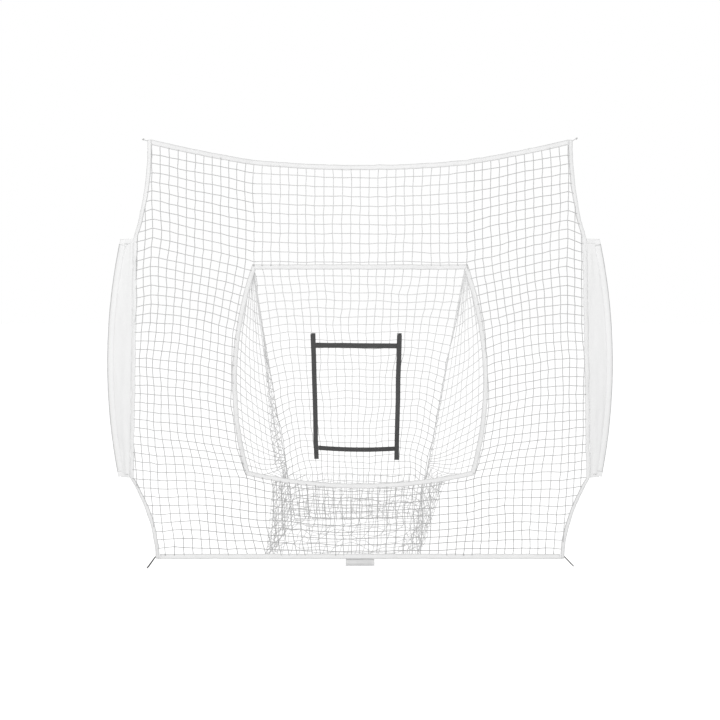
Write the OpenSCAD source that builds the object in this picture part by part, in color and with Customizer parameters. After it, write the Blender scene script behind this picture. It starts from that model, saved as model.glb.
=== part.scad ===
// Pitching target net: a square-mesh backstop net with a deep ball pocket, tape-bound
// edges, two fabric side panels with sleeves for bowed poles, corner cords and elastic
// loops, a wrap for the base bar, and a webbing strike zone on the pocket's back wall.
//
// +X is the pitcher's right, +Y runs into the pocket and +Z is up. The origin is the
// middle of the base bar that the wrap closes round. Heights named *_h are measured from
// the lower edge of the bottom hem. The netting is drawn as a grid of flat strands.

/* [Netting] */
// Square mesh of the netting, knot to knot
mesh = 44.45; // [38.1:0.05:50.8]
// Meshes of the netting that one gap of the grid spans
meshes_per_gap = 2; // [2:1:4]
// Width of a grid strand
strand_w = 5; // [3:0.5:8]
// Thickness of a grid strand
strand_t = 3; // [2:0.5:4]
// Columns of gaps across each side wall of the pocket
side_cols = 6; // [4:1:7]
// Clearance at a sewn seam
seam_clear = 0.3; // [0.2:0.05:0.5]

/* [Front] */
// Half of the width between the outer corners
front_half_w = 1025; // [980:5:1100]
// Height of the corners above the bottom hem
front_h = 2060; // [1980:5:2200]
// How far the top hem hangs below its corners in the middle
hem_sag = 88; // [40:1:120]
// Half of the distance between the two upright folds
fold_half_w = 540; // [500:1:600]
// How far the folds lie behind the corners
fold_depth = 170; // [120:1:220]
// Width of the binding tape
tape_w = 25; // [20:0.5:30]
// Thickness of the binding tape
tape_t = 4; // [3:0.5:5]

/* [Mouth] */
// Height of the mouth's top edge
mouth_top_h = 1461; // [1400:1:1520]
// Height at which the mouth is widest
mouth_mid_h = 857; // [820:1:900]
// Half of the mouth's greatest width
mouth_mid_half_w = 640; // [615:1:660]
// Height of the mouth's lower corners
mouth_corner_h = 400; // [360:1:440]
// How far the sill hangs below the lower corners
sill_sag = 67; // [30:1:90]

/* [Pocket] */
// Lean of the back wall away from the mouth, in degrees
back_lean = 19.8; // [16:0.1:23]
// Half of the back wall's width where it meets the floor
back_foot_half_w = 365; // [330:1:400]
// Reach of the floor to the left at the bottom hem
floor_left_w = 472; // [400:1:500]
// Reach of the floor to the right at the bottom hem
floor_right_w = 285; // [260:1:470]
// Half of the pocket's width just below the sill
under_sill_half_w = 445; // [420:1:480]

/* [Side panels] */
// Turn of the outer strips and panels behind the front, in degrees
strip_turn = 22; // [15:0.5:30]
// Height of a panel's upper end
panel_top_h = 1593; // [1540:1:1640]
// Height of a panel's lower end
panel_bottom_h = 397; // [360:1:440]
// Distance from the ridge to the panel's seam at the upper end
seam_top_out = 120; // [105:1:130]
// Distance from the ridge to the panel's seam at the lower end
seam_bottom_out = 174; // [160:1:190]
// Distance from the ridge to the outer edge at the upper end
edge_top_out = 198; // [185:1:215]
// Distance from the ridge to the outer edge at the lower end
edge_bottom_out = 244; // [232:1:260]
// Bow of the outer edge beyond its chord
edge_bow = 75; // [55:1:95]
// Thickness of the panel's fabric
panel_t = 1.2; // [0.8:0.1:2]
// Bore of the pole sleeve
sleeve_bore_d = 16; // [14:0.5:19]
// Wall of the pole sleeve
sleeve_wall = 1.2; // [0.8:0.1:2]
// Height of the hem at each end of a panel
panel_hem_l = 25; // [20:1:35]
// Thickness of the folded hem at each end of a panel
panel_hem_t = 3; // [2:0.1:4]

/* [Strike zone] */
// Width between the centrelines of the upright straps
zone_w = 457; // [420:1:480]
// Height between the centrelines of the cross straps
zone_h = 635; // [560:1:680]
// Height of the zone's centre
zone_mid_h = 758; // [720:1:780]
// Sideways place of the zone's centre
zone_shift = -20; // [-40:1:40]
// Width of the strap
strap_w = 25; // [20:0.5:38]
// Thickness of the strap
strap_t = 2; // [1.5:0.1:3]
// Length of each strap end beyond the cross straps
strap_tail = 53; // [45:1:60]
// Thickness of a grip tab behind the netting
grip_t = 1.5; // [1:0.1:2.5]

/* [Corner ties] */
// Diameter of the top corner cords
cord_d = 3; // [2.5:0.1:4]
// Length of the top corner cords
cord_l = 46; // [38:1:56]
// Diameter of the knot on a cord
knot_d = 11; // [9:0.5:14]
// Turn of the top corner cords behind the front, in degrees
cord_turn = 53; // [48:1:66]
// Rise of the left cord, in degrees
left_cord_rise = 17; // [10:1:30]
// Rise of the right cord, in degrees
right_cord_rise = 22; // [10:1:30]
// Diameter of the elastic cord
loop_d = 5; // [4:0.5:5.5]
// Bend radius at the end of an elastic loop
loop_bend_r = 10; // [9:0.5:12]
// Half of the distance between the loop's ends at the corner
loop_root = 3; // [3:0.1:4]
// Height at which an elastic loop is sewn to its corner
loop_root_h = 6; // [5:0.5:10]
// Turn of the elastic loops behind the front, in degrees
loop_turn = 40; // [36:1:50]
// Roll of an elastic loop about its own length, in degrees
loop_roll = 25; // [0:1:35]
// Reach of the left loop from its corner
left_loop_reach = 98; // [80:1:110]
// Reach of the right loop from its corner
right_loop_reach = 94; // [80:1:110]
// Drop of the left loop, in degrees
left_loop_drop = 46; // [30:1:50]
// Drop of the right loop, in degrees
right_loop_drop = 40; // [30:1:50]

/* [Base wrap] */
// Bore of the closed wrap, for the base bar
bar_bore_d = 29; // [26:0.5:34]
// Length of the wrap along the bar
wrap_l = 143; // [120:1:170]
// Thickness of the wrap
wrap_t = 2; // [1.5:0.1:3]

/* [Hidden] */

NET = [0.88, 0.89, 0.90];
TAPE = [0.95, 0.95, 0.95];
FABRIC = [0.92, 0.92, 0.93];
STRAP = [0.13, 0.13, 0.14];
ELASTIC = [0.06, 0.06, 0.06];
CORD = [0.80, 0.80, 0.80];
WRAP = [0.78, 0.78, 0.79];

// Driven sizes of the grid and of the seams
pitch = mesh * meshes_per_gap;
curve_steps = 24;

function relief(turn) = seam_clear / 2 + tape_t / 2 * tan(turn / 2);
function lerp(a, b, t) = a + (b - a) * t;
function unit(v) = v / norm(v);

// Front sheet: a flat band between the folds and a wing from each fold to its ridge
ridge_x = front_half_w - tape_w * cos(strip_turn);
wing_turn = atan(fold_depth / (ridge_x - fold_half_w));
wing_w = norm([ridge_x - fold_half_w, fold_depth]);
mouth_mid_w = (ridge_x - mouth_mid_half_w) / cos(wing_turn);

function wing_x(w) = ridge_x - w * cos(wing_turn);
function hem_h(x) = front_h - hem_sag * (1 - pow(x / ridge_x, 2));
function mouth_rise(h) = (h - mouth_mid_h) / (mouth_top_h - mouth_mid_h);
function mouth_w(h) = lerp(mouth_mid_w, wing_w, pow(mouth_rise(h), 2));
function mouth_lean(h) =
  2 * (wing_w - mouth_mid_w) * mouth_rise(h) / (mouth_top_h - mouth_mid_h);

corner_w = mouth_w(mouth_corner_h);
corner_x = wing_x(corner_w);
corner_y = corner_w * sin(wing_turn);
diagonal = mouth_corner_h / corner_w;

// Apron: from the bottom hem up and back to the sill
apron_lean = atan(corner_y / mouth_corner_h);
apron_s = norm([corner_y, mouth_corner_h]);
apron_turn = acos(cos(wing_turn) * cos(apron_lean));
net_lift = bar_bore_d / 2 + wrap_t + seam_clear + tape_t / 2 * sin(apron_lean);

function sill_s(x) = apron_s - sill_sag * (1 - pow(x / corner_x, 2));
function apron_edge_x(s) = lerp(ridge_x, corner_x, s / apron_s);

// Pocket: a leaning back wall, a floor and two side walls
foot_y = fold_depth + mouth_top_h * tan(back_lean);
back_l = mouth_top_h / cos(back_lean);
back_top_u = back_l - (tape_t / 2 + seam_clear + strand_t / 2 / cos(back_lean)) / sin(back_lean);
back_low_u = (strand_t + seam_clear) / cos(back_lean) + strand_t / 2 * tan(back_lean);
floor_front_y = (tape_t / 2 + wrap_t) / cos(apron_lean) + strand_t * tan(apron_lean) + seam_clear;

function back_half_w(u) = lerp(back_foot_half_w, fold_half_w, u / back_l);

// Counts of gaps
band_cols = round(2 * fold_half_w / pitch);
wing_cols = round(wing_w / pitch);
front_rows = round(front_h / pitch);
apron_rows = round(apron_s / pitch);
back_rows = round(back_l / pitch);
floor_rows = round(foot_y / pitch);

// Outer strip: its tape leaves the corner along the ridge and flares to the panel's seam
function seam_out(h) =
  lerp(seam_bottom_out, seam_top_out, (h - panel_bottom_h) / (panel_top_h - panel_bottom_h));
function tape_out(h) =
  h > panel_top_h
    ? lerp(tape_w, seam_top_out, pow((front_h - h) / (front_h - panel_top_h), 2))
    : h < panel_bottom_h
      ? lerp(tape_w, seam_bottom_out, pow(h / panel_bottom_h, 2))
      : seam_out(h);

strip_tip = 2 * strand_w;
tape_heights = concat(
  [for (k = [0:curve_steps]) panel_bottom_h * k / curve_steps],
  [for (k = [0:curve_steps]) lerp(panel_top_h, front_h, k / curve_steps)]
);

// Outer edge of a panel: an arc over its chord, drawn in a frame turned with the chord
edge_chord = norm([edge_bottom_out - edge_top_out, panel_top_h - panel_bottom_h]);
edge_tilt = atan((edge_bottom_out - edge_top_out) / (panel_top_h - panel_bottom_h));
edge_r = edge_chord * edge_chord / (8 * edge_bow) + edge_bow / 2;
edge_mid = [(edge_top_out + edge_bottom_out) / 2, (panel_top_h + panel_bottom_h) / 2];
edge_centre = edge_mid + (edge_bow - edge_r) * [cos(edge_tilt), sin(edge_tilt)];
edge_span = asin(edge_chord / 2 / edge_r);
sleeve_r = sleeve_bore_d / 2 + sleeve_wall;
sleeve_path_r = edge_r - sleeve_r;
hem_span = asin((panel_hem_l + seam_clear) / sleeve_path_r);

// Strike zone, by its slant distance up the back wall
zone_mid_u = zone_mid_h / cos(back_lean);
strap_z = strand_t / 2 + seam_clear;

// Planes that the flat pieces lie in, each with its own X across and Y up the sheet
module lifted() translate([0, 0, net_lift]) children();
module band_plane() lifted() translate([0, fold_depth, 0]) rotate([90, 0, 0]) children();
module wing_plane() lifted() translate([ridge_x, 0, 0]) rotate([90, 0, 180 - wing_turn]) children();
module strip_plane() lifted() translate([ridge_x, 0, 0]) rotate([90, 0, strip_turn]) children();
module apron_plane() lifted() rotate([90 - apron_lean, 0, 0]) children();
module back_plane() lifted() translate([0, foot_y, 0]) rotate([90 + back_lean, 0, 0]) children();
module left() mirror([1, 0, 0]) children();
module plate(t) linear_extrude(t, center = true) children();

// One gap between strands, drawn inside the four knots q
function gap(q) = [
  for (k = [0:3])
    q[k] + strand_w / 2 * (unit(q[(k + 1) % 4] - q[k]) + unit(q[(k + 3) % 4] - q[k]))
];

// A grid of gaps whose knots are at(column, row)
module gaps(cols, rows, at) {
  for (i = [0:cols - 1], j = [0:rows - 1])
    polygon(gap([at(i, j), at(i + 1, j), at(i + 1, j + 1), at(i, j + 1)]));
}

// A sheet of netting: its first child is the sheet, its second the part that gaps may
// reach and its third the grid of gaps
module netting() {
  plate(strand_t) difference() {
    children(0);
    intersection() {
      children(1);
      children(2);
    }
  }
}

// ---- Front netting ----

module band_face(edge, low, high) {
  x = fold_half_w - relief(wing_turn) - edge;
  low_h = mouth_top_h + tape_w / 2 + low;
  polygon(concat(
    [[-x, low_h], [x, low_h]],
    [for (k = [0:curve_steps]) let (p = x * (1 - 2 * k / curve_steps)) [p, hem_h(p) - high]]
  ));
}

module top_net() color(NET) band_plane() netting() {
  band_face(0, 0, tape_w + seam_clear);
  band_face(strand_w / 2, strand_w / 2, tape_w + seam_clear + strand_w / 2);
  gaps(band_cols, front_rows, function(i, j)
    let (x = fold_half_w * (2 * i / band_cols - 1)) [x, hem_h(x) * (1 - j / front_rows)]);
}

// The wing's face, with the mouth still closed; edge is the margin at ridge, fold and
// diagonal, and high the margin under the top edge
module wing_face(edge, high) {
  rise = norm([1, diagonal]) * (relief(apron_turn) + edge);
  w0 = relief(wing_turn + strip_turn) + edge;
  w1 = wing_w - relief(wing_turn) - edge;
  low_h = tape_w + edge;
  polygon(concat(
    [[w0, low_h], [(low_h - rise) / diagonal, low_h], [w1, w1 * diagonal + rise]],
    [for (k = [0:curve_steps]) let (w = lerp(w1, w0, k / curve_steps)) [w, hem_h(wing_x(w)) - high]]
  ));
}

// The mouth's half in the wing, grown by margin
module wing_mouth(margin) {
  low_h = mouth_corner_h - 2 * tape_w;
  polygon(concat(
    [for (k = [0:curve_steps])
      let (h = lerp(low_h, mouth_top_h, k / curve_steps))
      [mouth_w(h) - margin * norm([1, mouth_lean(h)]), h]],
    [[mouth_w(mouth_top_h) - margin * norm([1, mouth_lean(mouth_top_h)]), mouth_top_h + margin]],
    [[2 * wing_w, mouth_top_h + margin], [2 * wing_w, low_h]]
  ));
}

module wing_net() wing_plane() netting() {
  difference() {
    wing_face(0, tape_w + seam_clear);
    wing_mouth(tape_w / 2);
  }
  difference() {
    wing_face(strand_w / 2, tape_w + seam_clear + strand_w / 2);
    wing_mouth(tape_w / 2 + strand_w / 2);
  }
  gaps(wing_cols, front_rows, function(i, j)
    let (w = wing_w * i / wing_cols) [w, hem_h(wing_x(w)) * (1 - j / front_rows)]);
}
module right_wing_net() color(NET) wing_net();
module left_wing_net() color(NET) left() wing_net();

module apron_face(edge, low) {
  slope = norm([ridge_x - corner_x, apron_s]) / apron_s * (relief(apron_turn) + edge);
  top_s = apron_s + tape_w;
  x0 = apron_edge_x(low) - slope;
  x1 = apron_edge_x(top_s) - slope;
  polygon([[-x0, low], [x0, low], [x1, top_s], [-x1, top_s]]);
}

// The mouth above the sill, grown by margin
module apron_mouth(margin) {
  polygon(concat(
    [for (k = [-curve_steps:curve_steps])
      let (x = 1.1 * corner_x * k / curve_steps) [x, sill_s(x) - margin]],
    [[1.1 * corner_x, 2 * apron_s], [-1.1 * corner_x, 2 * apron_s]]
  ));
}

// Columns of the apron carry on those of the band and of the wings
function apron_col_x(i) =
  let (n = i - wing_cols, m = i - wing_cols - band_cols)
  n < 0 ? -wing_x(wing_w * i / wing_cols)
        : m > 0 ? wing_x(wing_w * (1 - m / wing_cols))
                : fold_half_w * (2 * n / band_cols - 1);

module apron_net() color(NET) apron_plane() netting() {
  difference() {
    apron_face(0, tape_w);
    apron_mouth(tape_w / 2);
  }
  difference() {
    apron_face(strand_w / 2, tape_w + strand_w / 2);
    apron_mouth(tape_w / 2 + strand_w / 2);
  }
  gaps(2 * wing_cols + band_cols, apron_rows, function(i, j)
    [apron_col_x(i), apron_s * (1 - j / apron_rows)]);
}

module strip_face(edge) {
  heights = [for (h = tape_heights) if (tape_out(h) - tape_w > strip_tip) h];
  s0 = relief(wing_turn + strip_turn) + edge;
  polygon(concat(
    [[s0, heights[len(heights) - 1]], [s0, heights[0]]],
    [for (h = heights) [tape_out(h) - tape_w - seam_clear - edge, h]]
  ));
}

module strip_net() strip_plane() netting() {
  strip_face(0);
  strip_face(strand_w / 2);
  gaps(ceil((seam_bottom_out - tape_w) / pitch), front_rows, function(i, j)
    [pitch * i, front_h * (1 - j / front_rows)]);
}
module right_edge_net() color(NET) strip_net();
module left_edge_net() color(NET) left() strip_net();

// ---- Pocket netting ----

module back_face(edge) {
  u0 = back_low_u + edge;
  u1 = back_top_u - edge;
  side = strand_t / 2 + edge;
  polygon([
    [-back_half_w(u0) + side, u0], [back_half_w(u0) - side, u0],
    [back_half_w(u1) - side, u1], [-back_half_w(u1) + side, u1]
  ]);
}

module pocket_back_net() color(NET) back_plane() netting() {
  back_face(0);
  back_face(strand_w / 2);
  gaps(band_cols, back_rows, function(i, j)
    let (u = back_l * j / back_rows) [back_half_w(u) * (2 * i / band_cols - 1), u]);
}

module floor_face(edge) {
  y0 = floor_front_y + edge;
  y1 = foot_y - edge;
  x1 = back_foot_half_w - edge;
  polygon([[edge - floor_left_w, y0], [floor_right_w - edge, y0], [x1, y1], [-x1, y1]]);
}

module pocket_floor_net() color(NET) lifted() translate([0, 0, strand_t / 2]) netting() {
  floor_face(0);
  floor_face(strand_w / 2);
  gaps(band_cols, floor_rows, function(i, j)
    let (
      t = j / floor_rows,
      x0 = lerp(-floor_left_w, -back_foot_half_w, t),
      x1 = lerp(floor_right_w, back_foot_half_w, t)
    )
    [lerp(x0, x1, i / band_cols), foot_y * t]);
}

// A side wall is ruled from its front edge, behind the mouth's tape and then behind the
// apron, to the crease with the back wall. Row 0 is its foot, which reaches foot_w out at
// the bottom hem.
side_low_h = strand_t + 3 * seam_clear;
side_high_h = mouth_top_h - 2 * tape_w;
side_behind = tape_t / 2 + strand_t / 2 + seam_clear;
side_turn = 0.8;
wing_back = [sin(wing_turn), cos(wing_turn), 0];
apron_back = [0, cos(apron_lean), -sin(apron_lean)];

function wing_point(w, h) = [wing_x(w), w * sin(wing_turn), h];
function apron_point(x, s) = [x, s * sin(apron_lean), s * cos(apron_lean)];
corner_row = round(back_rows * mouth_corner_h / side_high_h);
function side_row_h(j) =
  j <= corner_row
    ? lerp(side_low_h, mouth_corner_h, j / corner_row)
    : lerp(mouth_corner_h, side_high_h, (j - corner_row) / (back_rows - corner_row));
function side_low_x(t, foot_w) =
  t > side_turn
    ? lerp(under_sill_half_w, corner_x, (t - side_turn) / (1 - side_turn))
    : lerp(foot_w, under_sill_half_w, t / side_turn);
function side_front(h, foot_w) =
  h > mouth_corner_h
    ? wing_point(mouth_w(h), h) + side_behind * wing_back
    : let (s = (h + side_behind * sin(apron_lean)) / cos(apron_lean))
      apron_point(side_low_x(h / mouth_corner_h, foot_w), s) + side_behind * apron_back;
function side_crease(h) = [back_half_w(h / cos(back_lean)), foot_y - h * tan(back_lean), h];
function side_knot(i, j, foot_w) =
  let (
    h = side_row_h(j),
    front = side_front(h, foot_w),
    crease = side_crease(h),
    rear = crease + (strand_t / 2 + seam_clear) * unit(front - crease)
  )
  lerp(front, rear, i / side_cols);

// Number of a knot in a grid of knots, and the four knots round a gap
function knot_no(i, j) = j * (side_cols + 1) + i;
function four(i, j) = [knot_no(i, j), knot_no(i + 1, j), knot_no(i + 1, j + 1), knot_no(i, j + 1)];
function grid_normal(knots, i, j) = unit(cross(
  knots[knot_no(min(i + 1, side_cols), j)] - knots[knot_no(max(i - 1, 0), j)],
  knots[knot_no(i, min(j + 1, back_rows))] - knots[knot_no(i, max(j - 1, 0))]
));

// Each knot gives two points, one on each face, and then each gap gives two at each corner
side_knots = (side_cols + 1) * (back_rows + 1);
function side_points(knots) = concat(
  [for (j = [0:back_rows], i = [0:side_cols])
    let (n = strand_t / 2 * grid_normal(knots, i, j))
    for (f = [-1, 1]) knots[knot_no(i, j)] + f * n],
  [for (j = [0:back_rows - 1], i = [0:side_cols - 1])
    let (
      q = [for (k = four(i, j)) knots[k]],
      n = strand_t / 2 * unit(cross(q[1] - q[0], q[3] - q[0])),
      g = gap(q)
    )
    for (k = [0:3], f = [-1, 1]) g[k] + f * n]
);

function quad(a, b, c, d) = [[c, b, a], [d, c, a]];
function facing(f, a, b, c, d) = f == 1 ? quad(a, b, c, d) : quad(d, c, b, a);
function corner_no(i, j, k, f) = 2 * side_knots + ((j * side_cols + i) * 4 + k % 4) * 2 + f;
function cell_faces(knots, i, j) =
  let (o = four(i, j), open = norm(knots[o[1]] - knots[o[0]]) > 3 * strand_w)
  open
    ? [for (k = [0:3])
        each concat(
          [for (f = [0, 1]) each facing(f, 2 * o[k] + f, 2 * o[(k + 1) % 4] + f,
                                        corner_no(i, j, k + 1, f), corner_no(i, j, k, f))],
          quad(corner_no(i, j, k, 1), corner_no(i, j, k + 1, 1),
               corner_no(i, j, k + 1, 0), corner_no(i, j, k, 0)))]
    : [for (f = [0, 1]) each facing(f, 2 * o[0] + f, 2 * o[1] + f, 2 * o[2] + f, 2 * o[3] + f)];
function rim_faces(a, b) = quad(2 * a, 2 * b, 2 * b + 1, 2 * a + 1);
function side_faces(knots) = concat(
  [for (j = [0:back_rows - 1], i = [0:side_cols - 1]) each cell_faces(knots, i, j)],
  [for (i = [0:side_cols - 1])
    each concat(rim_faces(knot_no(i, 0), knot_no(i + 1, 0)),
                rim_faces(knot_no(i + 1, back_rows), knot_no(i, back_rows)))],
  [for (j = [0:back_rows - 1])
    each concat(rim_faces(knot_no(side_cols, j), knot_no(side_cols, j + 1)),
                rim_faces(knot_no(0, j + 1), knot_no(0, j)))]
);

module pocket_side_net(foot_w) {
  knots = [for (j = [0:back_rows], i = [0:side_cols]) side_knot(i, j, foot_w)];
  lifted() polyhedron(side_points(knots), side_faces(knots));
}
module right_pocket_net() color(NET) pocket_side_net(floor_right_w);
module left_pocket_net() color(NET) left() pocket_side_net(floor_left_w);

// ---- Binding tapes ----

// The top hem between two places across a sheet; flat says whether that is the band
module hem_strip(x0, x1, flat) {
  xs = [for (k = [0:curve_steps]) lerp(x0, x1, k / curve_steps)];
  polygon(concat(
    [for (x = xs) [x, hem_h(flat ? x : wing_x(x))]],
    [for (k = [curve_steps:-1:0]) let (x = xs[k]) [x, hem_h(flat ? x : wing_x(x)) - tape_w]]
  ));
}

module top_hem_tape() color(TAPE) union() {
  band_plane() plate(tape_t) hem_strip(-fold_half_w, fold_half_w, true);
  wing_plane() plate(tape_t) hem_strip(relief(wing_turn + strip_turn), wing_w, false);
  left() wing_plane() plate(tape_t) hem_strip(relief(wing_turn + strip_turn), wing_w, false);
}

module bottom_hem_tape() color(TAPE) apron_plane() plate(tape_t) {
  half_l = ridge_x - relief(strip_turn);
  translate([-half_l, 0]) square([2 * half_l, tape_w]);
}

module edge_tape() strip_plane() plate(tape_t) {
  s0 = relief(wing_turn + strip_turn);
  polygon(concat(
    [for (h = tape_heights) [tape_out(h), h]],
    [for (k = [len(tape_heights) - 1:-1:0])
      let (h = tape_heights[k]) [max(s0, tape_out(h) - tape_w), h]]
  ));
}
module right_edge_tape() color(TAPE) edge_tape();
module left_edge_tape() color(TAPE) left() edge_tape();

module mouth_top_tape() color(TAPE) band_plane() plate(tape_t)
  translate([-fold_half_w + relief(wing_turn), mouth_top_h - tape_w / 2])
    square([2 * (fold_half_w - relief(wing_turn)), tape_w]);

module mouth_side_tape() wing_plane() plate(tape_t) intersection() {
  wing_face(0, tape_w);
  difference() {
    wing_mouth(tape_w / 2);
    wing_mouth(-tape_w / 2);
  }
}
module mouth_right_tape() color(TAPE) mouth_side_tape();
module mouth_left_tape() color(TAPE) left() mouth_side_tape();

module mouth_sill_tape() color(TAPE) apron_plane() plate(tape_t) intersection() {
  apron_face(0, tape_w);
  difference() {
    apron_mouth(tape_w / 2);
    apron_mouth(-tape_w / 2);
  }
}

// ---- Side panels ----

module arc_disc(r) translate(edge_centre) circle(r = r, $fn = 256);

// The panel's band between heights h0 and h1, from its seam outwards
module panel_band(h0, h1) {
  far = seam_bottom_out + edge_bow + front_half_w;
  polygon([
    [seam_out(h0) + seam_clear, h0], [far, h0], [far, h1], [seam_out(h1) + seam_clear, h1]
  ]);
}

module panel() strip_plane() plate(panel_t) intersection() {
  panel_band(panel_bottom_h + panel_hem_l + seam_clear, panel_top_h - panel_hem_l - seam_clear);
  arc_disc(edge_r - 2 * sleeve_r - seam_clear);
}
module right_panel() color(FABRIC) panel();
module left_panel() color(FABRIC) left() panel();

module pole_sleeve() strip_plane() translate(edge_centre) rotate(edge_tilt - edge_span + hem_span)
  rotate_extrude(angle = 2 * (edge_span - hem_span), $fn = 256) translate([sleeve_path_r, 0])
    difference() {
      circle(r = sleeve_r, $fn = 48);
      circle(d = sleeve_bore_d, $fn = 48);
    }
module right_pole_sleeve() color(FABRIC) pole_sleeve();
module left_pole_sleeve() color(FABRIC) left() pole_sleeve();

// A straight tube at one end of the sleeve's arc; end is 1 at the top and -1 below
module sleeve_end(end, r, start, length) translate(edge_centre) rotate(edge_tilt + end * edge_span)
  translate([sleeve_path_r, start * end, 0]) rotate([end * 90, 0, 0])
    cylinder(r = r, h = length, $fn = 64);

module panel_hem(end) {
  h0 = end > 0 ? panel_top_h - panel_hem_l : panel_bottom_h;
  strip_plane() difference() {
    union() {
      plate(panel_hem_t) intersection() {
        panel_band(h0, h0 + panel_hem_l);
        arc_disc(sleeve_path_r);
      }
      sleeve_end(end, sleeve_r, 0, panel_hem_l);
    }
    sleeve_end(end, sleeve_bore_d / 2, 1, panel_hem_l + 2);
    // the hem's corner is trimmed away in front of the sleeve's mouth
    sleeve_end(end, sleeve_r + seam_clear, 2 * sleeve_r, 2 * sleeve_r);
  }
}
module right_panel_top_hem() color(FABRIC) panel_hem(1);
module left_panel_top_hem() color(FABRIC) left() panel_hem(1);
module right_panel_bottom_hem() color(FABRIC) panel_hem(-1);
module left_panel_bottom_hem() color(FABRIC) left() panel_hem(-1);

// ---- Strike zone ----

module on_back_wall() back_plane() translate([zone_shift, zone_mid_u, 0]) children();

module upright_strap(side) on_back_wall()
  translate([side * zone_w / 2 - strap_w / 2, -zone_h / 2 - strap_w / 2 - strap_tail, strap_z])
    cube([strap_w, zone_h + strap_w + 2 * strap_tail, strap_t]);
module zone_left_strap() color(STRAP) upright_strap(-1);
module zone_right_strap() color(STRAP) upright_strap(1);

module cross_strap(side) on_back_wall()
  translate([-(zone_w - strap_w) / 2, side * zone_h / 2 - strap_w / 2, strap_z])
    cube([zone_w - strap_w, strap_w, strap_t]);
module zone_top_strap() color(STRAP) cross_strap(1);
module zone_bottom_strap() color(STRAP) cross_strap(-1);

// Hook-and-loop tabs that grip the strap ends through the netting, from behind
module zone_grip_tabs() color(STRAP) on_back_wall()
  for (x = [-1, 1], y = [-1, 1])
    translate([x * zone_w / 2 - strap_w / 2,
               y * (zone_h / 2 + strap_w / 2 + strap_tail / 2) - strap_tail / 2,
               -strap_z - grip_t])
      cube([strap_w, strap_tail, grip_t]);

// ---- Corner ties ----

// A frame at a corner of the right side, whose X leaves the edge tape outwards, turned
// behind the front and dropped by angles; root is the half width of what turns there
module tie_frame(h, root, turn, drop) lifted() translate([ridge_x, 0, 0])
  rotate([0, 0, strip_turn]) translate([tape_w + seam_clear + root, 0, h])
    rotate([0, 0, turn - strip_turn]) rotate([0, drop, 0]) children();

cord_root_h = front_h - cord_d;
cord_root_r = cord_d / 2 + 0.3;
knot_seat = knot_d / 2 * 0.9;

// A cord from the bead where it is sewn to the corner; it points along Z
module cord_frame(rise) tie_frame(cord_root_h, cord_root_r, cord_turn, -rise)
  rotate([0, 90, 0]) children();

module corner_cord(rise) cord_frame(rise) union() {
  sphere(r = cord_root_r, $fn = 32);
  cylinder(d = cord_d, h = cord_l, $fn = 32);
}
module top_right_cord() color(CORD) corner_cord(right_cord_rise);
module top_left_cord() color(CORD) left() corner_cord(left_cord_rise);

// An overhand knot: a ball with a collar, flat where the cord comes out of it
module knot(rise) cord_frame(rise) translate([0, 0, cord_l + knot_seat]) difference() {
  union() {
    sphere(d = knot_d, $fn = 48);
    rotate_extrude($fn = 48) translate([knot_d / 2 - cord_d / 4, 0]) circle(d = cord_d, $fn = 24);
  }
  translate([-knot_d, -knot_d, -2 * knot_d - knot_seat]) cube(2 * knot_d);
}
module top_right_knot() color(CORD) knot(right_cord_rise);
module top_left_knot() color(CORD) left() knot(left_cord_rise);

// A tube along a path in the XY plane, with a radius for each point of the path
module flat_tube(path, radii, sides) {
  last = len(path) - 1;
  dirs = [for (k = [0:last]) unit(path[min(k + 1, last)] - path[max(k - 1, 0)])];
  points = [for (k = [0:last], s = [0:sides - 1])
    let (a = 360 * s / sides, out = radii[k] * cos(a))
    [path[k].x - dirs[k].y * out, path[k].y + dirs[k].x * out, radii[k] * sin(a)]];
  rings = [for (k = [0:last - 1], s = [0:sides - 1])
    let (a = k * sides + s, b = k * sides + (s + 1) % sides)
    each [[a, a + sides, b + sides], [a, b + sides, b]]];
  polyhedron(points, concat(rings,
    [[for (s = [0:sides - 1]) s]], [[for (s = [sides - 1:-1:0]) last * sides + s]]));
}

// How far the pivot of an elastic loop stands off, so that both rolled roots clear the tape
function loop_seat(drop) =
  let (t = loop_turn - strip_turn)
  loop_d / 2 + loop_root * abs(sin(loop_roll) * sin(drop) * cos(t) - cos(loop_roll) * sin(t));

// An elastic loop: two legs with rounded roots at the corner, joined by an arc
module elastic_loop(reach, drop) {
  centre = reach - loop_bend_r - loop_d / 2;
  open = asin(loop_bend_r / norm([centre, loop_root])) - atan(loop_root / centre);
  bends = 12;
  arc = [for (k = [0:bends])
    let (a = (90 + open) * (1 - 2 * k / bends))
    [centre + loop_bend_r * cos(a), loop_bend_r * sin(a)]];
  dome = loop_d / 2 * cos(30);
  path = concat([[-dome, loop_root], [0, loop_root]], arc, [[0, -loop_root], [-dome, -loop_root]]);
  radii = concat([loop_d / 4], [for (k = [0:bends + 2]) loop_d / 2], [loop_d / 4]);
  tie_frame(loop_root_h, loop_seat(drop), loop_turn, drop) rotate([loop_roll, 0, 0])
    flat_tube(path, radii, 10);
}
module bottom_right_loop() color(ELASTIC) elastic_loop(right_loop_reach, right_loop_drop);
module bottom_left_loop() color(ELASTIC) left() elastic_loop(left_loop_reach, left_loop_drop);

// ---- Base wrap ----

wrap_r = bar_bore_d / 2 + wrap_t;
wrap_top_y = (tape_t / 2 + wrap_t) / cos(apron_lean);

module along_bar() rotate([90, 0, 90]) linear_extrude(wrap_l, center = true) children();

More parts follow.
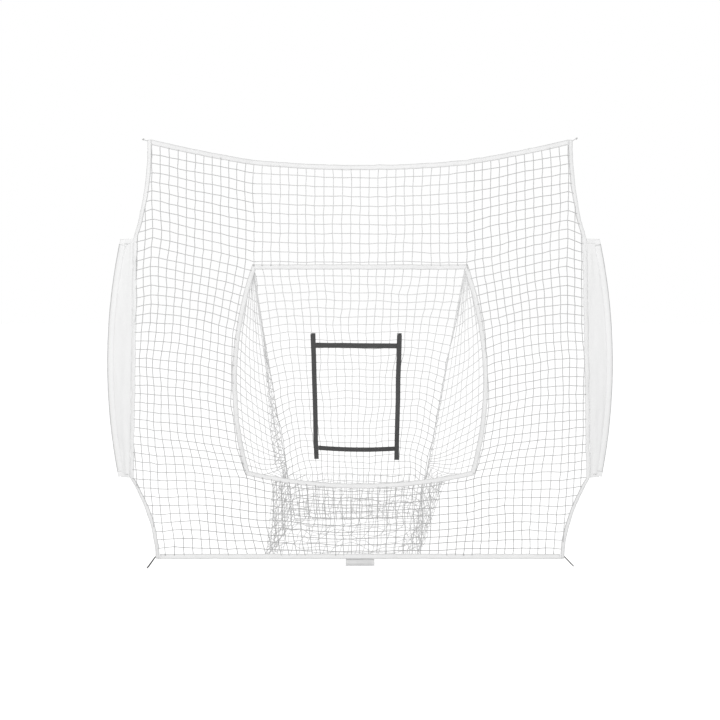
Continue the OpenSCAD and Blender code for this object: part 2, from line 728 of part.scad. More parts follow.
// The sewn half: over the top, down the front and under, with a tongue behind the hem
module base_wrap() color(WRAP) along_bar() difference() {
  far = 2 * wrap_r;
  union() {
    intersection() {
      circle(r = wrap_r, $fn = 64);
      polygon([[-far, -far], [-seam_clear / 2, -far], [-seam_clear / 2, 0],
               [wrap_top_y, 0], [wrap_top_y, far], [-far, far]]);
    }
    translate([0, net_lift]) rotate(90 - apron_lean)
      translate([-wrap_t / 2 - seam_clear, -tape_t / 2 - wrap_t])
        square([tape_w + wrap_t / 2, wrap_t]);
  }
  circle(d = bar_bore_d, $fn = 64);
}

// The free half, which closes the back of the wrap
module base_wrap_flap() color(WRAP) along_bar() intersection() {
  far = 2 * wrap_r;
  difference() {
    circle(r = wrap_r, $fn = 64);
    circle(d = bar_bore_d, $fn = 64);
  }
  polygon([[seam_clear / 2, -far], [far, -far], [far, far],
           [wrap_top_y + 2 * seam_clear, far], [wrap_top_y + 2 * seam_clear, 0], [seam_clear / 2, 0]]);
}

top_net();
left_wing_net();
right_wing_net();
apron_net();
left_edge_net();
right_edge_net();
pocket_back_net();
left_pocket_net();
right_pocket_net();
pocket_floor_net();
top_hem_tape();
bottom_hem_tape();
left_edge_tape();
right_edge_tape();
mouth_top_tape();
mouth_left_tape();
mouth_right_tape();
mouth_sill_tape();
left_panel();
right_panel();
left_pole_sleeve();
right_pole_sleeve();
left_panel_top_hem();
right_panel_top_hem();
left_panel_bottom_hem();
right_panel_bottom_hem();
zone_left_strap();
zone_right_strap();
zone_top_strap();
zone_bottom_strap();
zone_grip_tabs();
top_left_cord();
top_right_cord();
top_left_knot();
top_right_knot();
bottom_left_loop();
bottom_right_loop();
base_wrap();
base_wrap_flap();
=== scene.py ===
"""Pitching target net: knotted netting, bound tapes, fabric panels and a webbing strike zone."""

import math

import bpy
import numpy as np
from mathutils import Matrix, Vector


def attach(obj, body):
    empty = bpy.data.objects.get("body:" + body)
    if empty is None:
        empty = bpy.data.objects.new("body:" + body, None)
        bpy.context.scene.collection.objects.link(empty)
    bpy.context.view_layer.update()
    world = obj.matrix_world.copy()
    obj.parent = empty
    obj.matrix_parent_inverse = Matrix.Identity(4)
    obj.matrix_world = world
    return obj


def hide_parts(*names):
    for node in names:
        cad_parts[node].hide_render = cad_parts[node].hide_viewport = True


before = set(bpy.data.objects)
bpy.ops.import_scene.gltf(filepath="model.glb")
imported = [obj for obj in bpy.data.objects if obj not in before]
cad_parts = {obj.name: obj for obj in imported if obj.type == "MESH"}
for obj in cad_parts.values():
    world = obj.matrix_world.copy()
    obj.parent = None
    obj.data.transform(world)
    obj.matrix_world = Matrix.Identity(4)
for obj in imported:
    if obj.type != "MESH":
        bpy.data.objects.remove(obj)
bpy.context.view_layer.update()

bl_info = {
    "name": "Pitching target net",
    "version": (1, 0, 0),
    "blender": (4, 5, 0),
    "location": "3D View > Sidebar > Target net",
    "description": "Dresses a packed pitching net with netting, tapes, fabric panels and straps",
    "category": "Object",
}

# ---- Construction sizes, in metres and radians, the same as the part's own ----

NET_LIFT = 0.01752          # height of the bottom hem's lower edge over the base bar
RIDGE_X = 1.00182           # where wing and outer strip meet
FRONT_H = 2.060
HEM_SAG = 0.088
FOLD_X = 0.540
FOLD_Y = 0.170
TAPE_W = 0.025
TAPE_T = 0.004
STRIP_TURN = math.radians(22)
MOUTH_TOP = 1.461
MOUTH_MID = 0.857
MOUTH_MID_X = 0.640
MOUTH_CORNER = 0.400
SILL_SAG = 0.067
BACK_LEAN = math.radians(19.8)
BACK_FOOT_X = 0.365
FLOOR_LEFT = 0.472
FLOOR_RIGHT = 0.285
UNDER_SILL_X = 0.445
PANEL_TOP = 1.593
PANEL_BOTTOM = 0.397
SEAM_TOP = 0.120
SEAM_BOTTOM = 0.174
EDGE_TOP = 0.198
EDGE_BOTTOM = 0.244
EDGE_BOW = 0.075
SLEEVE_R = 0.0092
HEM_L = 0.025
SEAM_CLEAR = 0.0003
ZONE_W = 0.457
ZONE_H = 0.635
ZONE_MID = 0.758
ZONE_SHIFT = -0.020
STRAP_W = 0.025
STRAP_T = 0.002
STRAP_TAIL = 0.053
BAR_R = 0.0145
WRAP_T = 0.002
WRAP_L = 0.143
CORD_L = 0.046
CORD_TURN = math.radians(53)
LOOP_D = 0.005
LOOP_BEND = 0.010
LOOP_ROOT = 0.003
LOOP_TURN = math.radians(40)
LOOP_ROLL = math.radians(25)
STRAND_T = 0.003            # thickness of the part's flat strands
FOLD_ROUND = 0.004          # how softly two planes of the front sheet meet

WING_TAN = FOLD_Y / (RIDGE_X - FOLD_X)
WING_TURN = math.atan(WING_TAN)
WING_W = math.hypot(RIDGE_X - FOLD_X, FOLD_Y)
MOUTH_MID_W = (RIDGE_X - MOUTH_MID_X) / math.cos(WING_TURN)
STRIP_TAN = math.tan(STRIP_TURN)
BACK_L = MOUTH_TOP / math.cos(BACK_LEAN)
FOOT_Y = FOLD_Y + MOUTH_TOP * math.tan(BACK_LEAN)


def mouth_w(h):
    """Distance from the ridge to the mouth's edge, along the wing, at height h."""
    rise = (h - MOUTH_MID) / (MOUTH_TOP - MOUTH_MID)
    return MOUTH_MID_W + (WING_W - MOUTH_MID_W) * rise * rise


def mouth_x(h):
    return RIDGE_X - mouth_w(h) * math.cos(WING_TURN)


CORNER_W = mouth_w(MOUTH_CORNER)
CORNER_X = mouth_x(MOUTH_CORNER)
CORNER_Y = CORNER_W * math.sin(WING_TURN)
APRON_TAN = CORNER_Y / MOUTH_CORNER
APRON_LEAN = math.atan(APRON_TAN)
APRON_S = math.hypot(CORNER_Y, MOUTH_CORNER)
APRON_UP = np.array([0, math.sin(APRON_LEAN), math.cos(APRON_LEAN)])
APRON_FRONT = np.array([0, -math.cos(APRON_LEAN), math.sin(APRON_LEAN)])


def hem_h(x):
    """Height of the top hem's upper edge."""
    return FRONT_H - HEM_SAG * (1 - (x / RIDGE_X) ** 2)


def sill_h(x):
    """Height of the middle of the mouth's sill tape."""
    return (APRON_S - SILL_SAG * (1 - (x / CORNER_X) ** 2)) * math.cos(APRON_LEAN)


def seam_s(h):
    """Distance along the strip from the ridge to the panel's seam."""
    return SEAM_BOTTOM + (SEAM_TOP - SEAM_BOTTOM) * (h - PANEL_BOTTOM) / (PANEL_TOP - PANEL_BOTTOM)


def tape_out(h):
    """Distance along the strip from the ridge to the outer edge of the edge tape."""
    high = TAPE_W + (SEAM_TOP - TAPE_W) * ((FRONT_H - h) / (FRONT_H - PANEL_TOP)) ** 2
    low = TAPE_W + (SEAM_BOTTOM - TAPE_W) * (h / PANEL_BOTTOM) ** 2
    return np.where(h > PANEL_TOP, high, np.where(h < PANEL_BOTTOM, low, seam_s(h)))


def soft_min(a, b):
    """The smaller of two values, rounded where they are close."""
    return -FOLD_ROUND * np.logaddexp(-a / FOLD_ROUND, -b / FOLD_ROUND)


def front_y(x, h):
    """Depth of the front sheet at distance x from the middle and height h."""
    inner = soft_min(soft_min((RIDGE_X - x) * WING_TAN, h * APRON_TAN), FOLD_Y + 0 * x)
    outer = (x - RIDGE_X) * STRIP_TAN
    rounded = np.logaddexp(outer / FOLD_ROUND, inner / FOLD_ROUND) * FOLD_ROUND
    return np.where(x > RIDGE_X - 0.05, rounded, inner)


# ---- Mesh helpers ----

SEAM_SHARE = 0.8            # where a tape's seams run, as a share of its half width
TAPE_CROWN = 0.0003         # how much thicker a tape is along its middle
STITCH_L = 0.0032
STITCH_GAP = 0.0016
STITCH_LIFT = 0.0005


class Shell:
    """Points, faces and cloth values of one piece: run, width and how much painted shade darkens each point.
    """

    def __init__(self):
        self.points, self.faces, self.cloth, self.count = [], [], [], 0

    def add(self, points, faces, cloth=None):
        points = np.asarray(points, float)
        if cloth is None:
            cloth = np.zeros((len(points), 3))
        self.points.append(points)
        self.cloth.append(np.asarray(cloth, float))
        self.faces.extend([tuple(int(n) + self.count for n in f) for f in faces])
        self.count += len(points)

    def build(self, name, material, body, nodes=(), slot=None):
        mesh = bpy.data.meshes.new(name)
        mesh.from_pydata(np.concatenate(self.points).tolist(), [], self.faces)
        lay = mesh.attributes.new("cloth", "FLOAT_VECTOR", "POINT")
        lay.data.foreach_set("vector", np.concatenate(self.cloth).astype(np.float32).ravel())
        mesh.polygons.foreach_set("use_smooth", [True] * len(mesh.polygons))
        mesh.materials.append(material)
        mesh.update()
        piece = bpy.data.objects.new(name, mesh)
        bpy.context.scene.collection.objects.link(piece)
        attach(piece, body)
        if nodes:
            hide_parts(*nodes)
        return piece


def unit_rows(v):
    return v / np.maximum(np.linalg.norm(v, axis=-1, keepdims=True), 1e-9)


def run_along(path):
    """Distance along a path at each of its points."""
    return np.concatenate([[0], np.cumsum(np.linalg.norm(np.diff(path, axis=0), axis=1))])


def read_off(rows, run, at):
    """Values of rows of three, known at run, read off at other distances."""
    return np.stack([np.interp(at, run, rows[:, c]) for c in range(3)], axis=1)


def ring_faces(rings, sides):
    """Quads between rings of points that follow each other, and the caps of both ends."""
    quads = []
    for k in range(rings - 1):
        for s in range(sides):
            a, b = k * sides + s, k * sides + (s + 1) % sides
            quads.append((a, b, b + sides, a + sides))
    last = (rings - 1) * sides
    return quads, [tuple(range(sides))[::-1], tuple(range(last, last + sides))]


def tube(shell, path, radius, up, sides=5, capped=True):
    """A round strand along path; up is a direction that the path never runs along."""
    path = np.asarray(path, float)
    along = unit_rows(np.gradient(path, axis=0))
    up = np.broadcast_to(np.asarray(up, float), path.shape)
    side = unit_rows(np.cross(along, up))
    lift = np.cross(side, along)
    radius = np.broadcast_to(np.asarray(radius, float), (len(path),))
    angle = np.arange(sides) * 2 * math.pi / sides
    ring = (np.cos(angle)[None, :, None] * side[:, None, :]
            + np.sin(angle)[None, :, None] * lift[:, None, :]) * radius[:, None, None]
    points = (path[:, None, :] + ring).reshape(-1, 3)
    cloth = np.stack([np.repeat(run_along(path), sides), np.tile(angle, len(path)),
                      np.zeros(len(points))], axis=1)
    quads, caps = ring_faces(len(path), sides)
    shell.add(points, quads + caps if capped else quads, cloth)


def knots(shell, centres, radius):
    """Small faceted beads where strands cross."""
    centres = np.asarray(centres, float).reshape(-1, 3)
    if not len(centres):
        return
    shape = np.array([(1, 0, 0), (-1, 0, 0), (0, 1, 0), (0, -1, 0), (0, 0, 1), (0, 0, -1)], float)
    faces = [(0, 2, 4), (2, 1, 4), (1, 3, 4), (3, 0, 4), (2, 0, 5), (1, 2, 5), (3, 1, 5), (0, 3, 5)]
    points = (centres[:, None, :] + shape[None] * radius).reshape(-1, 3)
    shell.add(points, [tuple(6 * n + v for v in f) for n in range(len(centres)) for f in faces])


def ribbon(shell, path, across, normal, width, thick, seams=True, edge_painted_shade=0.0):
    """A woven tape along path, with rounded edges, a shallow channel at each seam line, and painted shade
    towards its folded edges that its last argument scales.
    """
    path = np.asarray(path, float)
    across = np.broadcast_to(across, path.shape)
    normal = np.broadcast_to(normal, path.shape)
    width = np.broadcast_to(np.asarray(width, float), (len(path),))
    groove = 0.82 if seams else 1.0
    profile = [(-1, 0.2), (-0.96, 0.8), (-0.86, 1), (-SEAM_SHARE, groove), (-0.74, 1),
               (0, 1 + TAPE_CROWN / thick * 2),
               (0.74, 1), (SEAM_SHARE, groove), (0.86, 1), (0.96, 0.8), (1, 0.2)]
    profile = profile + [(u, -v) for u, v in reversed(profile)]
    sides = len(profile)
    u, v = np.array(profile).T
    points = (path[:, None, :] + across[:, None, :] * (u[None, :] * width[:, None] / 2)[..., None]
              + normal[:, None, :] * (v * thick / 2)[None, :, None]).reshape(-1, 3)
    # Painted shade: the colour darkens towards the tape's folded edges.
    painted_shading = np.interp(np.abs(u), [0.5, 0.74, 0.86, 1.0], [0, 0.05, 0.20, 0.30])
    edge_painted_shade = np.broadcast_to(np.asarray(edge_painted_shade, float), (len(path),))
    cloth = np.stack([np.repeat(run_along(path), sides), (u[None, :] * width[:, None] / 2).ravel(),
                      (edge_painted_shade[:, None] * painted_shading[None, :]).ravel()], axis=1)
    quads, caps = ring_faces(len(path), sides)
    shell.add(points, [(a, d, c, b) for a, b, c, d in quads] + [cap[::-1] for cap in caps], cloth)


def stitches(shell, path, normal):
    """A row of sewn stitches laid on a surface along path."""
    path = np.asarray(path, float)
    normal = np.broadcast_to(normal, path.shape)
    run = run_along(path)
    starts = np.arange(0.002, run[-1] - STITCH_L, STITCH_L + STITCH_GAP)
    if not len(starts):
        return
    up = unit_rows(read_off(normal, run, starts))
    a, b = read_off(path, run, starts), read_off(path, run, starts + STITCH_L)
    mid = (a + b) / 2 + up * STITCH_LIFT
    side = unit_rows(np.cross(b - a, up)) * STITCH_LIFT * 0.9
    points = np.stack([a, mid + side, b, mid - side, mid + up * STITCH_LIFT], axis=1).reshape(-1, 3)
    faces = [(0, 1, 4), (1, 2, 4), (2, 3, 4), (3, 0, 4), (3, 2, 1, 0)]
    shell.add(points, [tuple(5 * n + v for v in f) for n in range(len(starts)) for f in faces])


def lattice(seed, rows, cols):
    """A random grid of offsets, without the few that would stray far."""
    return np.random.default_rng(seed).normal(size=(rows, cols, 3)).clip(-1.8, 1.8)


def smooth_pick(grid, i, j):
    """Values of a lattice between its points, eased so that they run smoothly."""
    rows, cols = grid.shape[:2]
    i, j = np.clip(i, 0, rows - 1.001), np.clip(j, 0, cols - 1.001)
    a, b = np.floor(i).astype(int), np.floor(j).astype(int)
    s, t = i - a, j - b
    s, t = (s * s * (3 - 2 * s))[..., None], (t * t * (3 - 2 * t))[..., None]
    return (grid[a, b] * (1 - s) * (1 - t) + grid[a + 1, b] * s * (1 - t)
            + grid[a, b + 1] * (1 - s) * t + grid[a + 1, b + 1] * s * t)


class Waver:
    """Slack in a sheet: each knot is a little off and the whole sheet undulates slowly."""

    def __init__(self, seed, rows, cols, knot, slow, spacing=3.5):
        self.knot, self.slow, self.spacing = knot, slow, spacing
        self.fine = lattice(seed, rows + 2, cols + 2)
        self.broad = lattice(seed + 1, int(rows / spacing) + 3, int(cols / spacing) + 3)

    def __call__(self, i, j):
        i, j = np.asarray(i, float), np.asarray(j, float)
        return (smooth_pick(self.fine, i, j) * self.knot
                + smooth_pick(self.broad, i / self.spacing, j / self.spacing) * self.slow)


def runs_of(mask):
    """Start and stop of each unbroken stretch of True."""
    edges = np.flatnonzero(np.diff(np.concatenate([[0], mask.astype(int), [0]])))
    return list(zip(edges[::2], edges[1::2]))


# ---- Finishes ----

CLOTH_ROUGHNESS = 0.85
RUBBED = 0.12               # how far the roughness varies over the dye's clouds


def add_node(tree, kind, **values):
    """A node with sockets set by their names with a capital, and properties by theirs."""
    node = tree.nodes.new(kind)
    for key, value in values.items():
        if key[0].isupper():
            node.inputs[key.replace("_", " ")].default_value = value
        else:
            setattr(node, key, value)
    return node


def math_of(tree, operation, a, b=None):
    """The output of a math node whose inputs are sockets or numbers."""
    node = add_node(tree, "ShaderNodeMath", operation=operation)
    for socket, value in zip(node.inputs, (a, b)):
        if value is None:
            continue
        if isinstance(value, (int, float)):
            socket.default_value = value
        else:
            tree.links.new(value, socket)
    return node.outputs[0]


def new_group(name, inputs, outputs):
    """An empty shader group with its sockets, ready to be filled."""
    tree = bpy.data.node_groups.new(name, "ShaderNodeTree")
    for label, kind, default in inputs:
        socket = tree.interface.new_socket(label, in_out="INPUT", socket_type=kind)
        if default is not None:
            socket.default_value = default
    for label, kind in outputs:
        tree.interface.new_socket(label, in_out="OUTPUT", socket_type=kind)
    return tree, tree.nodes.new("NodeGroupInput"), tree.nodes.new("NodeGroupOutput")


def weave_group():
    """Over-and-under threads, from the cloth's own run and width in metres."""
    found = bpy.data.node_groups.get("Plain weave")
    if found:
        return found
    tree, source, sink = new_group(
        "Plain weave",
        [("Cloth", "NodeSocketVector", None), ("Threads", "NodeSocketFloat", 1400.0),
         ("Rib", "NodeSocketFloat", 1.0)],
        [("Height", "NodeSocketFloat"), ("Shade", "NodeSocketFloat")])
    split = add_node(tree, "ShaderNodeSeparateXYZ")
    tree.links.new(source.outputs["Cloth"], split.inputs[0])
    turns = math_of(tree, "MULTIPLY", source.outputs["Threads"], 2 * math.pi)
    run = math_of(tree, "MULTIPLY", split.outputs[0], turns)
    width = math_of(tree, "MULTIPLY", math_of(tree, "MULTIPLY", split.outputs[1], turns),
                    source.outputs["Rib"])
    warp = math_of(tree, "MULTIPLY", math_of(tree, "SINE", run), math_of(tree, "SINE", width))
    height = math_of(tree, "ADD", math_of(tree, "MULTIPLY", warp, 0.5), 0.5)
    tree.links.new(height, sink.inputs["Height"])
    tree.links.new(math_of(tree, "POWER", height, 0.6), sink.inputs["Shade"])
    return tree


def ply_group():
    """Twisted plies of a twine, or the crossing strands of a braid."""
    found = bpy.data.node_groups.get("Twisted plies")
    if found:
        return found
    tree, source, sink = new_group(
        "Twisted plies",
        [("Cloth", "NodeSocketVector", None), ("Turns", "NodeSocketFloat", 150.0),
         ("Plies", "NodeSocketFloat", 3.0), ("Braid", "NodeSocketFloat", 0.0)],
        [("Height", "NodeSocketFloat"), ("Shade", "NodeSocketFloat")])
    split = add_node(tree, "ShaderNodeSeparateXYZ")
    tree.links.new(source.outputs["Cloth"], split.inputs[0])
    turn = math_of(tree, "MULTIPLY", math_of(tree, "MULTIPLY", split.outputs[0], source.outputs["Turns"]),
                   2 * math.pi)
    round_ = math_of(tree, "MULTIPLY", split.outputs[1], source.outputs["Plies"])
    ridges = []
    for operation in ("ADD", "SUBTRACT"):
        half = math_of(tree, "MULTIPLY", math_of(tree, operation, turn, round_), 0.5)
        ridges.append(math_of(tree, "ABSOLUTE", math_of(tree, "COSINE", half)))
    right, left = ridges
    crossed = math_of(tree, "MAXIMUM", right, math_of(tree, "MULTIPLY", left, source.outputs["Braid"]))
    tree.links.new(crossed, sink.inputs["Height"])
    lit = math_of(tree, "ADD", math_of(tree, "MULTIPLY", crossed, 0.9), 0.1)
    tree.links.new(math_of(tree, "POWER", lit, 0.7), sink.inputs["Shade"])
    return tree


def age_group():
    """Slow unevenness of dye and dust over the whole object, and a fine speckle of lint."""
    found = bpy.data.node_groups.get("Dye and dust")
    if found:
        return found
    tree, source, sink = new_group(
        "Dye and dust",
        [("Cloud size", "NodeSocketFloat", 4.0), ("Depth", "NodeSocketFloat", 0.08),
         ("Lint", "NodeSocketFloat", 0.03)],
        [("Tint", "NodeSocketFloat"), ("Rub", "NodeSocketFloat")])
    place = add_node(tree, "ShaderNodeTexCoord")
    cloud = add_node(tree, "ShaderNodeTexNoise", Detail=3.0, Roughness=0.55)
    lint = add_node(tree, "ShaderNodeTexNoise", Scale=420.0, Detail=2.0)
    for noise in (cloud, lint):
        tree.links.new(place.outputs["Object"], noise.inputs["Vector"])
    tree.links.new(source.outputs["Cloud size"], cloud.inputs["Scale"])
    slow = math_of(tree, "MULTIPLY", cloud.outputs[0], source.outputs["Depth"])
    fine = math_of(tree, "MULTIPLY", lint.outputs[0], source.outputs["Lint"])
    tree.links.new(math_of(tree, "SUBTRACT", 1.0, math_of(tree, "ADD", slow, fine)), sink.inputs["Tint"])
    tree.links.new(cloud.outputs[0], sink.inputs["Rub"])
    return tree


def fabric(name, colour, groove, pattern, settings, sheen=0.15, bump=0.3, depth=0.0003, cloud=4.0, age=0.1):
    """A cloth or cord finish: groove is how dark the painted shade in the valleys of its pattern is."""
    found = bpy.data.materials.get(name)
    if found:
        return found
    material = bpy.data.materials.new(name)
    material.use_nodes = True
    tree = material.node_tree
    shader = tree.nodes["Principled BSDF"]
    shader.inputs["Sheen Weight"].default_value = sheen
    shader.inputs["Sheen Roughness"].default_value = 0.5
    shader.inputs["Specular IOR Level"].default_value = 0.25
    cloth = add_node(tree, "ShaderNodeAttribute", attribute_name="cloth")
    threads = add_node(tree, "ShaderNodeGroup", node_tree=pattern())
    tree.links.new(cloth.outputs["Vector"], threads.inputs["Cloth"])
    for key, value in settings.items():
        threads.inputs[key].default_value = value
    wear = add_node(tree, "ShaderNodeGroup", node_tree=age_group())
    wear.inputs["Cloud size"].default_value = cloud
    wear.inputs["Depth"].default_value = age
    # Painted shade: the pattern's Shade output darkens its valleys towards groove.
    mix = add_node(tree, "ShaderNodeMix", data_type="RGBA")
    mix.inputs["A"].default_value = tuple(c * groove for c in colour[:3]) + (1.0,)
    mix.inputs["B"].default_value = tuple(colour[:3]) + (1.0,)
    tree.links.new(threads.outputs["Shade"], mix.inputs["Factor"])
    tinted = add_node(tree, "ShaderNodeVectorMath", operation="SCALE")
    tree.links.new(mix.outputs["Result"], tinted.inputs[0])
    parts = add_node(tree, "ShaderNodeSeparateXYZ")
    tree.links.new(cloth.outputs["Vector"], parts.inputs[0])
    # Painted shade: the cloth attribute's third value darkens the colour.
    unshaded = math_of(tree, "SUBTRACT", 1.0, parts.outputs[2])
    tree.links.new(math_of(tree, "MULTIPLY", wear.outputs["Tint"], unshaded), tinted.inputs["Scale"])
    tree.links.new(tinted.outputs[0], shader.inputs["Base Color"])
    rough = math_of(tree, "ADD", math_of(tree, "MULTIPLY", wear.outputs["Rub"], RUBBED),
                    CLOTH_ROUGHNESS - RUBBED / 2)
    tree.links.new(rough, shader.inputs["Roughness"])
    lift = add_node(tree, "ShaderNodeBump", Strength=bump, Distance=depth)
    tree.links.new(threads.outputs["Height"], lift.inputs["Height"])
    tree.links.new(lift.outputs[0], shader.inputs["Normal"])
    return material


def netting_finish(kit, name="netting_twine", painted_shading=1.0):
    """Twisted twine; its last argument scales its colour as painted light and shade: below one it paints
    shade on a piece, above one it paints light on a piece that falls in shade.
    """
    return fabric(name, [c * painted_shading for c in kit.netting_colour], 0.62, ply_group,
                  {"Turns": 190.0, "Plies": 3.0}, bump=0.5, depth=0.0005)


def tape_finish(kit):
    return fabric("binding_tape_weave", kit.tape_colour, 0.86, weave_group,
                  {"Threads": 620.0, "Rib": 1.3}, bump=0.35, cloud=9.0, age=0.12)


def panel_finish(kit):
    return fabric("panel_cloth", kit.panel_colour, 0.93, weave_group,
                  {"Threads": 1500.0, "Rib": 1.0}, bump=0.18, depth=0.0002, sheen=0.25, age=0.07)


def thread_finish(name, colour):
    return fabric(name, colour, 0.8, ply_group, {"Turns": 600.0, "Plies": 2.0}, sheen=0.0, bump=0.1)


def strap_finish(kit):
    return fabric("strap_webbing", kit.strap_colour, 0.45, weave_group,
                  {"Threads": 430.0, "Rib": 2.2}, bump=0.6, depth=0.0006, sheen=0.3, age=0.25)


def cord_finish(kit):
    return fabric("braided_cord", kit.cord_colour, 0.6, ply_group,
                  {"Turns": 240.0, "Plies": 4.0, "Braid": 1.0}, bump=0.5, depth=0.0004)


def elastic_finish(kit):
    return fabric("braided_elastic", kit.elastic_colour, 0.45, ply_group,
                  {"Turns": 260.0, "Plies": 8.0, "Braid": 1.0}, bump=0.6, depth=0.0005, sheen=0.35)


def wrap_finish(kit):
    return fabric("wrap_cloth", kit.wrap_colour, 0.85, weave_group,
                  {"Threads": 800.0, "Rib": 1.0}, bump=0.3, sheen=0.2, age=0.2, cloud=30.0)


# ---- Planes of the sheets ----

def lifted(points):
    """Points measured from the bottom hem, moved up to their height over the base bar."""
    points = np.array(points, float)
    points[..., 2] += NET_LIFT
    return points


def strip_point(side, s, h, out=0.0):
    """A point on the outer strip: s from the ridge, h up and out towards the pitcher."""
    s, h, out = np.broadcast_arrays(np.asarray(s, float), h, out)
    x = side * (RIDGE_X + s * math.cos(STRIP_TURN) + out * math.sin(STRIP_TURN))
    return lifted(np.stack([x, s * math.sin(STRIP_TURN) - out * math.cos(STRIP_TURN), h], axis=-1))


def strip_across(side):
    return np.array([side * math.cos(STRIP_TURN), math.sin(STRIP_TURN), 0.0])


def strip_normal(side):
    return np.array([side * math.sin(STRIP_TURN), -math.cos(STRIP_TURN), 0.0])


def wing_point(side, w, h):
    """A point on a wing: w from the ridge towards the fold and h up."""
    w, h = np.broadcast_arrays(np.asarray(w, float), h)
    return lifted(np.stack([side * (RIDGE_X - w * math.cos(WING_TURN)), w * math.sin(WING_TURN), h], axis=-1))


def apron_point(x, s):
    """A point on the apron: x across and s up along it from the bottom hem."""
    x, s = np.broadcast_arrays(np.asarray(x, float), s)
    return lifted(np.stack([x, s * math.sin(APRON_LEAN), s * math.cos(APRON_LEAN)], axis=-1))


def back_point(x, u, out=0.0):
    """A point on the pocket's back wall: x across, u up along it and out towards the pitcher."""
    x, u, out = np.broadcast_arrays(np.asarray(x, float), u, out)
    y = FOOT_Y - u * math.sin(BACK_LEAN) - out * math.cos(BACK_LEAN)
    return lifted(np.stack([x, y, u * math.cos(BACK_LEAN) - out * math.sin(BACK_LEAN)], axis=-1))


def tie_place(side, h, seat, turn, rise):
    """Root, direction, sideways and upward axis of a tie, turned back from its corner."""
    place = strip_point(side, TAPE_W + SEAM_CLEAR + seat, h)
    flat = np.array([side * math.cos(turn), math.sin(turn), 0.0])
    aim = flat * math.cos(rise) + np.array([0, 0, math.sin(rise)])
    sideways = np.array([-side * math.sin(turn), math.cos(turn), 0.0])
    upward = np.array([0, 0, math.cos(rise)]) - flat * math.sin(rise)
    return place, aim, sideways, upward


# ---- Corner ties ----

CORD_R = 0.00155            # of the drawn tube, which has flat sides
CORD_BOW = 0.00094953
KNOT_SCALE = 0.00135
KNOT_SEAT = 0.00495         # from the cord's end to the middle of its knot
KNOT_CORE_R = 0.0028
KNOT_CORE_L = 0.0042        # half the length of the knot's core
TAIL_L = 0.0085
LOOP_IN = 0.001             # how far a loop's ends reach into its corner
COLLAR_L = 0.0052


def make_cord(kit, side, rise):
    """A cord from an upper corner, and the knot at its end."""
    name = "top_left" if side < 0 else "top_right"
    body = name + "_tie"
    root, aim, normal, _ = tie_place(side, FRONT_H - 0.003, 0.0018, CORD_TURN, rise)
    t = np.linspace(0, 1, 25)[:, None]
    path = root + aim * (CORD_L + 0.002) * t + np.cross(aim, normal) * CORD_BOW * np.sin(math.pi * t)
    cord = Shell()
    tube(cord, path, CORD_R, normal, sides=10)
    knots(cord, [root], 0.0019)
    piece = cord.build(name + "_cord_line", cord_finish(kit), body, [name + "_cord"], "cord")

    seat = root + aim * (CORD_L + KNOT_SEAT)
    sideways = unit_rows(np.cross(aim, normal))
    t = np.linspace(0, 2 * math.pi, 91)
    trefoil = np.stack([np.sin(t) + 2 * np.sin(2 * t), np.cos(t) - 2 * np.cos(2 * t), -2.1 * np.sin(3 * t)],
                       axis=1)
    turns = trefoil[:, :1] * sideways + trefoil[:, 1:2] * normal + trefoil[:, 2:] * aim
    knot = Shell()
    tube(knot, turns * KNOT_SCALE + seat, CORD_R, aim + 0.3 * normal, sides=9, capped=False)
    tail = seat + aim * (0.001 + TAIL_L * np.linspace(0, 1, 10)[:, None]) + sideways * 0.0006
    tube(knot, tail, np.linspace(0.0016, 0.0019, 10), normal, sides=9)
    core = seat + aim * np.linspace(-KNOT_CORE_L, KNOT_CORE_L, 9)[:, None]
    tube(knot, core, KNOT_CORE_R * np.sqrt(1 - 0.7 * np.linspace(-1, 1, 9) ** 2), normal, sides=9)
    tied = knot.build(name + "_cord_knot", cord_finish(kit), body, [name + "_knot"], "cord")
    run = float(run_along(path)[-1])
    tuple(map(float, root))


def make_loop(kit, side, reach, drop):
    """An elastic loop with both ends in a lower corner: two legs and a round bend."""
    name = "bottom_left" if side < 0 else "bottom_right"
    rel = LOOP_TURN - STRIP_TURN
    seat = LOOP_D / 2 + LOOP_ROOT * abs(math.sin(LOOP_ROLL) * math.sin(drop) * math.cos(rel)
                                        - math.cos(LOOP_ROLL) * math.sin(rel))
    root, aim, sideways, upward = tie_place(side, 0.006, seat, LOOP_TURN, -drop)
    sideways = sideways * math.cos(LOOP_ROLL) + upward * math.sin(LOOP_ROLL)
    centre = reach - LOOP_BEND - LOOP_D / 2
    opened = math.asin(LOOP_BEND / math.hypot(centre, LOOP_ROOT)) - math.atan(LOOP_ROOT / centre)
    angle = (math.pi / 2 + opened) * np.linspace(1, -1, 41)
    arc = np.stack([centre + LOOP_BEND * np.cos(angle), LOOP_BEND * np.sin(angle)], axis=1)
    leg = np.linspace(0, 1, 14)[:-1, None]
    near, far = np.array([[-LOOP_IN, LOOP_ROOT]]), np.array([[-LOOP_IN, -LOOP_ROOT]])
    first = near * (1 - leg) + arc[:1] * leg
    last = (arc[-1:] * (1 - leg) + far * leg)[1:]
    flat = np.concatenate([first, arc, last, far])
    path = root + flat[:, :1] * aim + flat[:, 1:] * sideways
    upright = np.cross(aim, sideways)
    loop = Shell()
    tube(loop, path, LOOP_D / 2, upright, sides=12)
    bound = LOOP_D / 2 + 0.0001 + 0.0002 * np.sin(np.linspace(0, math.pi * 3, 7)) ** 2
    for end, inward in ((path[0], path[1] - path[0]), (path[-1], path[-2] - path[-1])):
        collar = end + unit_rows(inward) * np.linspace(0.0, COLLAR_L, 7)[:, None]
        tube(loop, collar, bound, upright, sides=12)
    piece = loop.build(name + "_elastic", elastic_finish(kit), name + "_bungee", [name + "_loop"], "elastic")
    run = float(run_along(path)[-1])
    tuple(map(float, path[0]))


# ---- Netting ----

